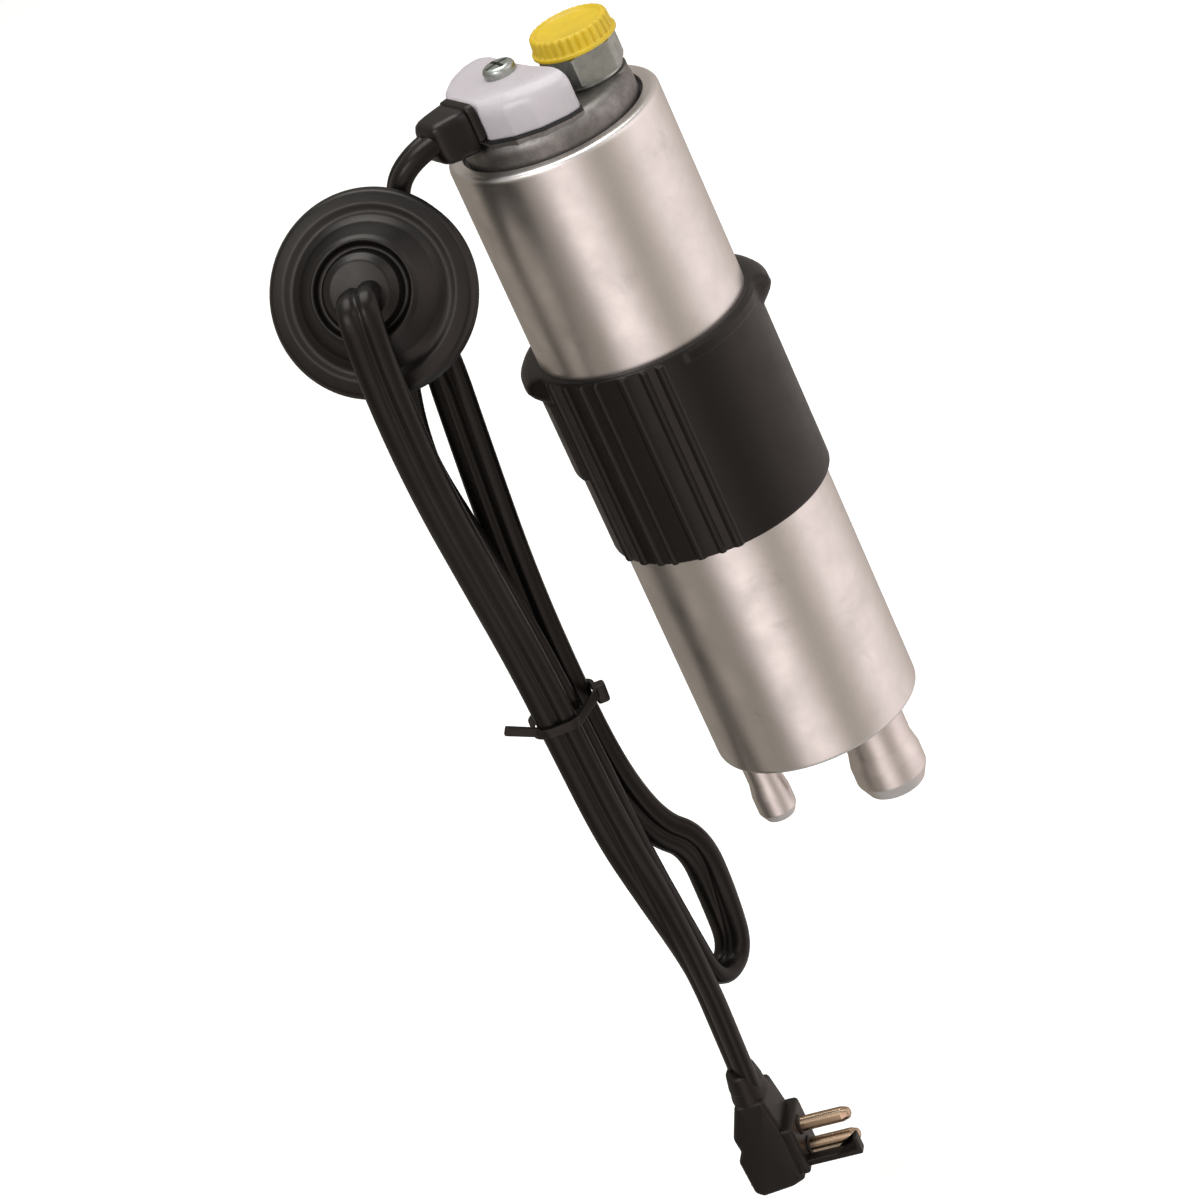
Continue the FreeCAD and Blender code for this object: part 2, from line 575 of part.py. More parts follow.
def check_valve_retainer():
    z0, z1 = PORT_FLOOR, PORT_FLOOR + 1.2
    ring = tube(PORT_R - RUN, 1.6, z0, z1, OUTLET_X)
    for i in range(3):
        a = 2 * math.pi * i / 3
        ring = ring.cut(cyl(1.0, z0 - 1, z1 + 1, OUTLET_X + 3.4 * math.cos(a), 3.4 * math.sin(a)))
    return ring


def transport_cap():
    """Fluted plastic plug head with a thin rim and a hollow stem that pushes into the port."""
    z0, z1 = PLUG_HEAD_Z
    head = turned([(0, z0), (PLUG_HEAD_R, z0), (PLUG_HEAD_R, z0 + 0.9), (PLUG_HEAD_R - 0.45, z0 + 1.1),
                   (PLUG_HEAD_R - 0.75, z1 - 0.6), (PLUG_HEAD_R - 1.4, z1), (0, z1)], OUTLET_X)
    cuts = []
    for i in range(30):
        a = 2 * math.pi * i / 30
        cuts.append(cyl(0.42, z0 + 1.1, z1 + 1, OUTLET_X + (PLUG_HEAD_R - 0.35) * math.cos(a),
                        (PLUG_HEAD_R - 0.35) * math.sin(a)))
    head = head.cut(Part.makeCompound(cuts))
    return head.fuse(tube(PLUG_STEM_R, PLUG_STEM_R - 1.2, PORT_FLOOR + 2.4, z0 + 0.5, OUTLET_X))


# Terminals
def insulator(x, y):
    body = cyl(INSULATOR_R - RUN, CAP_INNER_Z + 1, CAP_TOP + 1, x, y)
    body = body.fuse(cyl(INSULATOR_R + 0.8, CAP_TOP, LUG_Z, x, y))
    return body.cut(cyl(POST_R, CAP_INNER_Z, LUG_Z + 1, x, y))


def terminal_post(x, y):
    foot = CAP_INNER_Z - 3.0
    return cyl(POST_R, foot, LUG_Z + 6.1, x, y).fuse(cyl(INSULATOR_R - 0.15, foot, CAP_INNER_Z + 1, x, y))


def post_nut(x, y):
    z0 = LUG_Z + LUG_T
    return hexagon(NUT_FLATS, z0, z0 + NUT_H, x, y, 15).cut(cyl(POST_R, z0 - 1, z0 + NUT_H + 1, x, y))


def cable_lug(x, y, to_x, to_y):
    """Ring terminal with a barrel towards the cable."""
    z0, z1 = LUG_Z, LUG_Z + LUG_T
    flat = cyl(POST_R + 1.7, z0, z1, x, y)
    d = math.hypot(to_x - x, to_y - y)
    ux, uy = (to_x - x) / d, (to_y - y) / d
    strip = slab(POST_R, 6.2, -1.4, 1.4, z0, z1).fuse(rod(1.45, (5.0, 0, WIRE_Z), (9.0, 0, WIRE_Z)))
    strip = strip.cut(rod(WIRE_R + RUN, (6.8, 0, WIRE_Z), (9.5, 0, WIRE_Z)))
    strip.rotate(V(0, 0, 0), V(0, 0, 1), math.degrees(math.atan2(uy, ux)))
    strip.translate(V(x, y, 0))
    return flat.fuse(strip).cut(cyl(POST_R, z0 - 1, z1 + 4, x, y)), (x + ux * 6.9, y + uy * 6.9)


def cover_dome(inset):
    """Rounded lid shape that trims the cover, inset by the wall for its inside. Its axis lies behind
    the can's, so that the broad rounding falls on the front edge and fades out towards the back."""
    r, z0, top = CAP_R - 0.3 + DOME_BACK - inset, CAP_TOP - 1, COVER_TOP - inset
    dome = turned([(0, z0), (r, z0), (r, top - 6.5), (r - 7.0, top, r - 2.2, top - 2.1), (0, top)])
    dome.translate(V(0, DOME_BACK, 0))
    return dome


def terminal_cover():
    z0 = CAP_TOP + GASKET_T
    outer = cover_blank(0.0, z0, COVER_TOP)
    top_edges = [e for e in outer.Edges if min(v.Z for v in e.Vertexes) > COVER_TOP - 0.01]
    edge = cyl(CAP_R - 0.3, z0 - 2, COVER_TOP + 1)
    outer = outer.makeFillet(1.3, top_edges).common(cover_dome(0)).common(edge)
    inner = cover_blank(-COVER_WALL, z0 - 1, COVER_TOP - COVER_WALL).common(cover_dome(COVER_WALL))
    cover = outer.cut(inner).fuse(cyl(PILLAR_R, z0, COVER_TOP - 0.5, SCREW_X, SCREW_Y))
    cover = cover.cut(cyl(SCREW_R + 0.2, z0 - 1, COVER_TOP + 1, SCREW_X, SCREW_Y))
    mouth = slab(-4.0, 4.0, -5.3, 5.3, BOOT_Z - 3.3, BOOT_Z + 3.3)
    mouth.rotate(V(0, 0, 0), V(0, 0, 1), math.degrees(math.atan2(BOOT_DIR[1], BOOT_DIR[0])))
    mouth.translate(V(BOOT_FACE[0], BOOT_FACE[1], 0))
    return cover.cut(mouth)


def cover_gasket():
    z0, z1 = CAP_TOP, CAP_TOP + GASKET_T
    ring = cover_blank(0.3, z0, z1).common(cyl(CAP_R, z0, z1)).cut(cover_blank(-COVER_WALL, z0 - 1, z1 + 1))
    bridge = slab(-11.6, 6.6, -1.2, 1.2, z0, z1)
    bridge.translate(V(SCREW_X, SCREW_Y, 0))
    ring = ring.fuse(cyl(PILLAR_R, z0, z1, SCREW_X, SCREW_Y)).fuse(bridge.common(cover_blank(-0.5, z0, z1)))
    return ring.cut(cyl(SCREW_R + 0.2, z0 - 1, z1 + 1, SCREW_X, SCREW_Y))


def cover_screw():
    r, z = SCREW_HEAD_R, COVER_TOP
    head = turned([(0, z), (r, z), (r, z + 1.3), (r - 1.7, z + 2.4, r - 0.5, z + 2.1), (0, z + 2.55)],
                  SCREW_X, SCREW_Y)
    screw = head.fuse(cyl(SCREW_R, CAP_TOP - 8.0, COVER_TOP, SCREW_X, SCREW_Y))
    for turn in (20, 110):
        slot = slab(-3.0, 3.0, -0.45, 0.45, COVER_TOP + 1.1, COVER_TOP + 4)
        slot.rotate(V(0, 0, 0), V(0, 0, 1), turn)
        slot.translate(V(SCREW_X, SCREW_Y, 0))
        screw = screw.cut(slot)
    return screw


def boxed_section(w, h, along, drop, r):
    """Rounded rectangle wire, in the boot's own frame, at a distance along it."""
    y, z = w / 2, h / 2
    solid = slab(along, along + 1, -y, y, drop - z, drop + z)
    rims = [e for e in solid.Edges if abs(e.Vertexes[0].X - e.Vertexes[-1].X) > 0.5]
    solid = solid.makeFillet(r, rims)
    ends = [f for f in solid.Faces if abs(f.CenterOfMass.x - along) < 1e-6]
    return ends[0].OuterWire


def cable_boot():
    """Rubber boot: collar on the cover's end face, neck through it, body that narrows to the cable."""
    neck = Part.makeLoft([boxed_section(10.4, 6.4, -1.9, 0, 1.2),
                          boxed_section(10.4, 6.4, 0.3, 0, 1.2)], True)
    collar = Part.makeLoft([boxed_section(13.8, 9.4, 0.1, 0.75, 1.8),
                            boxed_section(13.5, 9.2, 2.2, 0.75, 1.8)], True)
    body = Part.makeLoft([boxed_section(13.0, 11.0, 2.0, -0.3, 2.2), boxed_section(11.6, 10.8, 7.0, -0.1, 2.2),
                          boxed_section(10.2, 9.6, 10.8, 0.1, 2.0)], True)
    boot = neck.fuse(collar).fuse(body)
    boot.rotate(V(0, 0, 0), V(0, 0, 1), math.degrees(math.atan2(BOOT_DIR[1], BOOT_DIR[0])))
    boot.translate(V(BOOT_FACE[0], BOOT_FACE[1], BOOT_Z))
    return boot


def grommet():
    """Round sealing grommet: two flanges with a groove between and a cone with a ringed boss."""
    r = GROMMET_R
    body = turned([(0, -6.5), (7.0, -6.5), (7.6, 1.5), (8.6, 3.4), (11.2, 2.6), (14.6, -2.0), (15.6, -6.6),
                   (17.8, -6.0), (r - 1.5, -5.0), (r - 0.6, -4.0), (r - 1.0, -2.6),
                   (r - 4.0, -2.4), (r - 4.0, 0.2), (r - 0.6, 0.4), (r, 1.4), (r - 0.7, 3.0), (18.6, 4.0),
                   (17.4, 3.5), (16.2, 4.8), (12.6, 9.4), (11.2, 10.4), (10.4, 8.9), (9.5, 8.9), (8.8, 11.0),
                   (7.0, 12.6), (0, 13.4)])
    body.Placement = FreeCAD.Placement(V(*GROMMET_C), FreeCAD.Rotation(V(0, 0, 1), V(*GROMMET_N)))
    return body


def cable_tie():
    """Strap round the three lays of the cable, with its head and the cut tail."""
    inner = prism(TIE_OUTLINE, 0, TIE_H)
    upright = [e for e in inner.Edges if abs(e.Vertexes[0].Z - e.Vertexes[-1].Z) > 0.5]
    inner = inner.makeFillet(2.0, upright)
    cx = sum(p[0] for p in TIE_OUTLINE) / len(TIE_OUTLINE)
    cy = sum(p[1] for p in TIE_OUTLINE) / len(TIE_OUTLINE)
    pts = []
    for x, y in TIE_OUTLINE:
        d = math.hypot(x - cx, y - cy)
        pts.append((x + 1.25 * TIE_T * (x - cx) / d, y + 1.25 * TIE_T * (y - cy) / d))
    outer = prism(pts, 0, TIE_H)
    upright = [e for e in outer.Edges if abs(e.Vertexes[0].Z - e.Vertexes[-1].Z) > 0.5]
    outer = outer.makeFillet(3.0, upright)
    strap = outer.cut(inner)
    head = slab(-46.9, -42.9, -6.9, -2.9, -2.5, 2.7)
    head = head.makeFillet(0.6, head.Edges)
    tail = slab(-9.0, 0, -0.6, 0.5, 0, TIE_H)
    tail.rotate(V(0, 0, 0), V(0, 1, 0), 26)
    tail.translate(V(-63.0, -15.6, 0.2))
    tie = strap.fuse(head).fuse(tail)
    tie = tie.cut(inner)
    tie.translate(V(0, 0, TIE_Z))
    tie.rotate(V(cx, cy, TIE_Z), V(0, 1, 0), 4)
    return tie


def plug_place(shape):
    shape.rotate(V(0, 0, 0), V(0, 0, 1), PLUG_TURN)
    shape.translate(V(PLUG_AT[0], PLUG_AT[1], 0))
    return shape


def side_profile(points, half):
    """Profile in the plug's X and Z, extruded across it."""
    pts = [V(px, -half, pz) for px, pz in points]
    return Part.Face(Part.makePolygon(pts + pts[:1])).extrude(V(0, 2 * half, 0))


def plug_body():
    """Moulded right angled plug: cable sleeve, finger recess, lower block, pin collar and key."""
    t, low, face = PLUG_TOP, PLUG_BOTTOM, PLUG_FACE
    upper = side_profile([(-3.6, t), (4.2, t), (face - 2.6, t - 10.0), (face - 2.6, low + 2.4), (1.8, low + 0.9),
                          (-6.5, low), (-8.4, low + 1.6), (-8.8, low + 11.7), (-7.1, low + 14.6),
                          (-7.5, low + 18.9)], PLUG_HALF)
    long_edges = [e for e in upper.Edges if abs(e.Vertexes[0].Y - e.Vertexes[-1].Y) > 5]
    upper = upper.makeFillet(1.0, long_edges)
    rims = [e for e in upper.Edges if abs(e.BoundBox.YMax - e.BoundBox.YMin) < 1e-6]
    upper = upper.makeFillet(0.8, rims)
    collar = slab(face - 3.0, face, -PLUG_HALF - 0.8, PLUG_HALF + 0.8, low + 4.4, t - 9.6)
    collar = collar.makeFillet(1.2, [e for e in collar.Edges if abs(e.BoundBox.XMax - e.BoundBox.XMin) > 1])
    sleeve = Part.makeCone(4.9, 3.6, 7.5, V(0, 0, t - 0.5), V(0, 0, 1))
    body = upper.fuse(collar).fuse(sleeve)
    for y in (-PLUG_HALF - 0.2, PLUG_HALF + 0.2):
        recess = Part.makeCylinder(5.0, 1.4, V(-0.6, y - 0.7, low + 8.5), V(0, 1, 0))
        body = body.cut(recess)
    tip = PIN_X[1] + 0.6
    key = slab(face - 1.2, tip, KEY_Y[0], KEY_Y[1], low + 6.0, low + 7.8).fuse(
        slab(tip - 1.0, tip, KEY_Y[0], KEY_Y[1], low + 6.0, low + 11.2))
    body = body.fuse(key)
    for z in PINS_Z:
        body = body.cut(rod(PIN_ROOT_R, (PIN_X[0], 0, z), (face + 1.0, 0, z)))
    body = body.cut(cyl(CABLE_T / 2, t - 2.0, t + 20.0))
    return plug_place(body)


def plug_pin(z):
    """Round pin with a domed tip, on a thinner root that is moulded into the plug."""
    end = PIN_X[1] - PIN_R
    body = rod(PIN_ROOT_R, (PIN_X[0], 0, z), (PLUG_FACE + 1.0, 0, z))
    body = body.fuse(rod(PIN_R, (PLUG_FACE, 0, z), (end, 0, z)))
    return plug_place(body.fuse(Part.makeSphere(PIN_R, V(end, 0, z))))


def rubber_sleeve():
    """Mounting sleeve: smooth wall, ribs on one side, collar round the back and a thin lip."""
    h = SLEEVE_HALF
    inner = CAN_R + 0.02
    wall = turned([(inner, -h), (SLEEVE_R - 0.8, -h), (SLEEVE_R, -h + 0.8, SLEEVE_R - 0.23, -h + 0.23),
                   (SLEEVE_R, h - 0.8), (SLEEVE_R - 0.8, h, SLEEVE_R - 0.23, h - 0.23), (inner, h)])
    low, high = COLLAR_Z
    collar = turned([(inner, low), (SLEEVE_R, low), (COLLAR_R - 0.9, low + 2.6), (COLLAR_R, low + 4.0),
                     (COLLAR_R - 0.1, low + 5.6), (COLLAR_R - 1.1, low + 6.8), (SLEEVE_R, high), (inner, high)])
    wedge = Part.makeCylinder(40, 60, V(0, 0, -30), V(0, 0, 1), 208.0)
    wedge.rotate(V(0, 0, 0), V(0, 0, 1), -14.0)
    body = wall.fuse(collar.common(wedge))
    body = body.fuse(sector(SLEEVE_R + 0.45, inner, h - 3.4, h - 0.7, -80.0, -12.0))
    body = body.fuse(sector(PAD_R, inner, -3.0, low + 1.0, 168.0, 196.0))
    for angle, width in SLEEVE_RIBS:
        rib = cyl(width / 2, -h - 0.25, h - 0.6, SLEEVE_R + RIB_HEIGHT - width / 2, 0)
        rib.rotate(V(0, 0, 0), V(0, 0, 1), angle)
        body = body.fuse(rib)
    return body.cut(cyl(inner, -h - 2, h + 2))


def main():
    save(housing_can(), "housing_can")
    save(spigot(INLET_X, INLET_R, INLET_BEAD_R, INLET_BORE_R, INLET_END, 10.2, 4.6), "inlet_spigot")
    save(spigot(RETURN_X, RETURN_R, RETURN_BEAD_R, RETURN_BORE_R, RETURN_END, 4.9, 3.2), "return_spigot")
    save(inlet_strainer(), "inlet_strainer")
    save(pump_inlet_plate(), "pump_inlet_plate")
    save(pump_ring(), "pump_ring")
    save(outer_rotor(), "outer_rotor")
    save(inner_rotor(), "inner_rotor")
    save(pump_outlet_plate(), "pump_outlet_plate")
    save(pump_screws(), "pump_screws")
    save(Part.makeSphere(RELIEF_BALL_R, V(RELIEF_X, 0, RELIEF_BALL_Z)), "relief_valve_ball")
    spring = helix_spring(1.6, 0.25, INLET_PLATE[0] + RELIEF_PLUG_H,
                          RELIEF_BALL_Z - RELIEF_BALL_R + 0.35, 5, V(0, 0, 1))
    spring.translate(V(RELIEF_X, 0, 0))
    save(spring, "relief_valve_spring")
    save(relief_plug(), "relief_valve_plug")
    axle, pin = shaft()
    save(axle, "armature_shaft")
    save(pin, "drive_pin")
    save(tube(BEARING_R, SHAFT_R + 0.03, OUTLET_PLATE[0] + 1.5, OUTLET_PLATE[1] + 4.0), "lower_bearing")
    save(tube(BEARING_R, SHAFT_R + 0.03, CARRIER_Z[1] + 2.5, SHAFT_Z[1] - 0.5), "upper_bearing")
    save(armature_core(), "armature_core")
    save(armature_windings(), "armature_windings")
    save(commutator(), "commutator")
    save(tube(PACK_R, FLUX_R_IN, *FLUX_Z), "flux_ring")
    save(sector(FLUX_R_IN, MAGNET_R_IN, MAGNET_Z[0], MAGNET_Z[1], -64.0, 64.0), "magnet_right")
    save(sector(FLUX_R_IN, MAGNET_R_IN, MAGNET_Z[0], MAGNET_Z[1], 116.0, 244.0), "magnet_left")
    clip_z = (MAGNET_Z[0] + 4, MAGNET_Z[1] - 4)
    save(sector(FLUX_R_IN, FLUX_R_IN - 1.6, *clip_z, 64.0, 116.0), "magnet_clip_back")
    save(sector(FLUX_R_IN, FLUX_R_IN - 1.6, *clip_z, 244.0, 296.0), "magnet_clip_front")
    save(brush_carrier(), "brush_carrier")
    save(brush(-1), "brush_positive")
    save(brush(1), "brush_negative")
    save(brush_spring(-1), "brush_spring_positive")
    save(brush_spring(1), "brush_spring_negative")
    save(end_cap(), "end_cap")
    save(tube(CAN_R - CAN_LIP_RADIUS, CAP_R, SHOULDER_Z, CAN_TOP - CAN_WALL), "end_cap_seal")
    save(tube(SHANK_R + 1.8, SHANK_R + RUN, CAP_TOP, HEX_Z[0], OUTLET_X), "outlet_washer")
    save(outlet_fitting(), "outlet_fitting")
    save(check_valve_poppet(), "check_valve_poppet")
    spring = helix_spring(2.6, 0.3, VALVE_SEAT_Z + 2.4, PORT_FLOOR, 4, V(0, 0, 1))
    spring.translate(V(OUTLET_X, 0, 0))
    save(spring, "check_valve_spring")
    save(check_valve_retainer(), "check_valve_retainer")
    save(transport_cap(), "transport_cap")
    nuts = []
    for name, x, y in POSTS:
        save(insulator(x, y), "terminal_insulator_" + name)
        save(terminal_post(x, y), "terminal_post_" + name)
        nuts.append(post_nut(x, y))
        end = WIRE_ENDS[name]
        lug, near = cable_lug(x, y, end[0], end[1])
        save(lug, "cable_lug_" + name)
        save(rod(WIRE_R, (near[0], near[1], WIRE_Z), (end[0], end[1], WIRE_Z)), "core_wire_" + name)
        save(cyl(WIRE_R, CARRIER_Z[1], CAP_INNER_Z - 3.0, x, y), "brush_lead_" + name)
    save(Part.makeCompound(nuts), "terminal_nuts")
    save(cover_gasket(), "cover_gasket")
    save(terminal_cover(), "terminal_cover")
    save(cover_screw(), "cover_screw")
    cable = bar_route(CABLE_ROUTE, CABLE_T / 2)
    save(cable, "cable")
    save(cable_boot().cut(cable), "cable_boot")
    save(grommet().cut(cable), "grommet")
    save(cable_tie(), "cable_tie")
    save(plug_body().cut(cable), "plug_body")
    save(plug_pin(PINS_Z[0]), "plug_pin_upper")
    save(plug_pin(PINS_Z[1]), "plug_pin_lower")
    save(rubber_sleeve(), "rubber_sleeve")


main()
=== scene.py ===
"""Looks of an electric fuel pump: drawn can, rubber sleeve, terminals, capped outlet and tied cable."""
import math

import bmesh
import bpy
import numpy as np
from mathutils import Matrix, Vector
from mathutils.geometry import delaunay_2d_cdt


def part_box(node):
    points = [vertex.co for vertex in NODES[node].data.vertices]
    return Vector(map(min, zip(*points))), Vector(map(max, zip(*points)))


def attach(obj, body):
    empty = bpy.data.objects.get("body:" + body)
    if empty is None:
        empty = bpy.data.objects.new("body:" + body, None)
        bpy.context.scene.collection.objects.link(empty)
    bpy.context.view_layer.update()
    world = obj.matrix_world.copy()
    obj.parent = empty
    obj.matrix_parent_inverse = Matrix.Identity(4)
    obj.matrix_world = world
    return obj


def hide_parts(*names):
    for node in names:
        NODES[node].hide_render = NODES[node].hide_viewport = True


bl_info = {
    "name": "Fuel Pump",
    "version": (1, 0, 0),
    "blender": (4, 5, 0),
    "location": "3D View > Sidebar > Fuel Pump",
    "description": "Makes the surfaces, finishes and stage of a fuel pump over its packed model",
    "category": "Object",
}

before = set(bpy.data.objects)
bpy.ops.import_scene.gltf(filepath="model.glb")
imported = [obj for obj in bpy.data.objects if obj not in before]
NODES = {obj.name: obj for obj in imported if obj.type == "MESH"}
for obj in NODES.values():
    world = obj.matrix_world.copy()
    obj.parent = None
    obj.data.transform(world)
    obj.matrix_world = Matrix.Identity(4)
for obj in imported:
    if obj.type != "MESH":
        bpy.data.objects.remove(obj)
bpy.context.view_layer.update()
MM = 0.001
TURN = 2 * math.pi

# Route of the cable in millimetres, the control points of its spline, from the boot to the plug
CABLE_ROUTE = (
    (-20.0, -9.2, 90.8), (-34.6, -13.2, 91.0), (-41.4, -11.4, 78.0), (-44.6, -8.3, 53.0),
    (-48.8, -5.0, 12.0), (-51.8, -3.2, -22.0), (-52.6, -3.0, -55.0), (-51.8, -2.8, -80.0),
    (-47.8, -2.0, -98.0), (-40.6, -1.0, -106.0), (-41.0, -0.2, -124.0), (-42.6, -0.6, -140.0),
    (-51.4, -9.0, -140.5), (-53.4, -9.2, -122.5), (-55.2, -8.6, -99.0), (-55.6, -8.4, -72.0),
    (-56.2, -8.6, -42.0), (-58.0, -8.0, -8.0), (-59.2, -6.6, 20.0), (-56.6, -5.4, 42.0),
    (-49.6, -9.0, 59.9), (-56.5, -38.5, 76.9), (-58.4, -46.3, 71.6), (-60.0, -45.2, 52.0),
    (-60.6, -36.0, 24.0), (-59.4, -24.0, -8.0), (-58.2, -15.4, -36.0), (-57.8, -14.2, -60.0),
    (-57.4, -14.6, -86.0), (-55.0, -14.4, -109.0), (-53.0, -14.8, -133.0), (-53.8, -14.2, -154.0),
    (-54.6, -14.0, -172.0))
# Direction of the flat cable's width at some of those points: the point's number from 0, then x, y, z
CABLE_WIDTH = ((0, 0.35, -0.93, 0.0), (1.5, 0.1, -0.95, 0.25), (2.6, 0.0, -0.93, 0.3),
               (3.5, 0.95, -0.3, 0.0), (6, 1.0, 0.0, 0.0), (9, 1.0, 0.1, 0.0), (11, 0.72, -0.69, 0.0),
               (12, 0.65, -0.76, 0.0), (14, 1.0, -0.1, 0.0), (16, 1.0, -0.2, 0.0), (17, 0.75, -0.6, 0.1),
               (18, 0.1, -0.95, 0.2), (20, 1.0, 0.0, 0.0), (28, 1.0, 0.0, 0.0), (30, 0.35, -0.93, 0.0),
               (32, 0.3, -0.95, 0.0))

CABLE_STEPS = 620

# Upright axes of the outlet and of the two spigots, and heights of the hexagon and of the cap, in millimetres
OUTLET_X, INLET_X, RETURN_X = 12.1, 10.8, -18.4
HEX_LOW, HEX_HIGH, CAP_HIGH = 86.0, 93.8, 98.7
HEX_TURN = 12
# Holes in the can's foot for the spigots: x, y and radius
FOOT_HOLES = ((INLET_X, 0.0, 8.35), (RETURN_X, 0.0, 4.3))
COVER_SCREW = (-6.2, -2.6)
COVER_HIGH, COVER_LOW = 95.5, 85.82
# Middle of the boot's root and the direction that the boot points in
BOOT_ROOT = (-17.45, -7.3, 90.0)
BOOT_AXIS = (-0.929, -0.370, 0.0)
# Place and turn of the plug, then heights of its top and foot, how far its face stands out and half its width
PLUG_PLACE, PLUG_TURN = (-54.6, -14.0, 0), -20
PLUG_TOP, PLUG_LOW, PLUG_FACE, PLUG_HALF = -170.0, -198.2, 8.2, 6.4
PINS = (("upper", -183.4), ("lower", -190.3))
GROMMET_CENTRE = (-53.1, -24.0, 68.6)
GROMMET_NORMAL = (-0.20, -0.85, 0.49)
# Outlines seen from above: the tie round the three lays, and the terminal cover
TIE_OUTLINE = ((-61.2, -17.0), (-54.0, -17.0), (-47.3, -7.0), (-47.3, -0.4), (-57.2, -0.4), (-63.4, -9.0),
               (-63.4, -15.0))
COVER_OUTLINE = ((-14.9, -13.7), (-9.6, -17.8), (-3.2, -20.0), (3.2, -20.0), (7.2, -18.6), (4.6, -13.0),
                 (1.4, -7.4), (-2.3, 1.5), (-6.6, 11.6), (-9.4, 14.6), (-13.2, 14.2), (-17.2, 10.0),
                 (-19.6, 4.4), (-20.0, -0.9))
# Ribs of the sleeve: bearing in degrees and width
SLEEVE_RIBS = ((-93.2, 2.9), (-101.8, 1.7), (-112.8, 2.9), (-127.3, 1.6), (-136.0, 1.6), (-147.5, 2.9),
               (-159.5, 1.6))


# Sizes and colours that a user would change

def reach(node, axis, side):
    """One face of a CAD node's box in metres: side 0 is the low face on that axis and 1 the high one."""
    return float(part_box(node)[side][axis])


def length(name, description, metres):
    return bpy.props.FloatProperty(name=name, description=description, default=metres, min=0.0, precision=5,
                                   subtype="DISTANCE", unit="LENGTH")


def height(name, description, metres):
    return bpy.props.FloatProperty(name=name, description=description, default=metres, precision=5,
                                   subtype="DISTANCE", unit="LENGTH")


def linear(code):
    """sRGB hex code to linear: c / 12.92 up to 0.04045, and ((c + 0.055) / 1.055)^2.4 above it."""
    c = np.array([int(code[i:i + 2], 16) for i in (1, 3, 5)]) / 255
    return tuple(float(x) for x in np.where(c <= 0.04045, c / 12.92, ((c + 0.055) / 1.055) ** 2.4))


def colour(name, description, code):
    return bpy.props.FloatVectorProperty(name=name, description=description, default=linear(code), size=3,
                                         min=0.0, max=1.0, subtype="COLOR")


class PumpSizes(bpy.types.PropertyGroup):
    """Sizes of the pump's outside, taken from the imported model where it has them."""
    can_radius: length("Can radius", "Outside radius of the drawn can", reach("housing_can", 0, 1))
    can_bottom: height("Can bottom", "Height of the can's lower face", reach("housing_can", 2, 0))
    can_top: height("Can top", "Height of the rolled rim", reach("housing_can", 2, 1))
    can_wall: length("Can wall", "Thickness of the can's wall", 0.0015)
    sleeve_wall: length("Sleeve wall", "Thickness of the rubber sleeve", 0.0018)
    sleeve_half: length("Sleeve half height", "Half the height of the rubber sleeve", 0.0255)
    collar_height: length("Collar height", "How far the sleeve's collar stands out", 0.0036)
    rib_height: length("Rib height", "How far the sleeve's ribs stand out", 0.00075)
    hex_flats: length("Hexagon", "Width across flats of the outlet fitting", 0.017)
    cap_radius: length("Transport cap radius", "Radius of the yellow cap's rim", 0.0102)
    cable_width: length("Cable width", "Width of the flat twin cable", 0.0098)
    cable_thickness: length("Cable thickness", "Thickness of the flat twin cable", 0.0052)
    grommet_radius: length("Grommet radius", "Radius of the grommet's front flange", 0.024)
    pin_radius: length("Pin radius", "Radius of the plug's pins", 0.00195)


class PumpColours(bpy.types.PropertyGroup):
    """Main colours of the pump."""
    can: colour("Can", "Drawn aluminium of the can", "#E4E0DC")
    spigot: colour("Spigots", "Drawn aluminium of the two spigots", "#E3DDD9")
    casting: colour("Casting", "Die-cast metal of the end cap", "#8F8C89")
    plating: colour("Plating", "Zinc plated steel of the fitting and screws", "#BCC2BC")
    rubber: colour("Rubber", "Black rubber of the sleeve, boot and grommet", "#0E0C0B")
    cable: colour("Cable", "Black jacket of the cable", "#110F0E")
    plug: colour("Plug", "Black moulded plug and tie", "#120F0E")
    cap: colour("Transport cap", "Yellow plastic of the transport cap", "#D6B61E")
    cover: colour("Cover", "White plastic of the terminal cover", "#BDB6B9")
    brass: colour("Pins", "Brass of the plug's pins", "#CDB297")


# Materials

def put(tree, kind, inputs=None, ramp=None, **settings):
    """Adds one node: inputs maps sockets to values or outputs, ramp lists a colour ramp's stops."""
    made = tree.nodes.new(kind)
    for key, value in settings.items():
        setattr(made, key, value)
    for key, value in (inputs or {}).items():
        if isinstance(value, bpy.types.NodeSocket):
            tree.links.new(value, made.inputs[key])
        else:
            made.inputs[key].default_value = value
    if ramp:
        stops = made.color_ramp.elements
        while len(stops) < len(ramp):
            stops.new(0.5)
        for stop, (place, tint) in zip(stops, ramp):
            stop.position, stop.color = place, (*tint[:3], 1.0)
    return made


def shade(tint, k):
    """A colour made lighter or darker by the factor k, in linear light."""
    return tuple(min(1.0, c * k) for c in tint[:3])


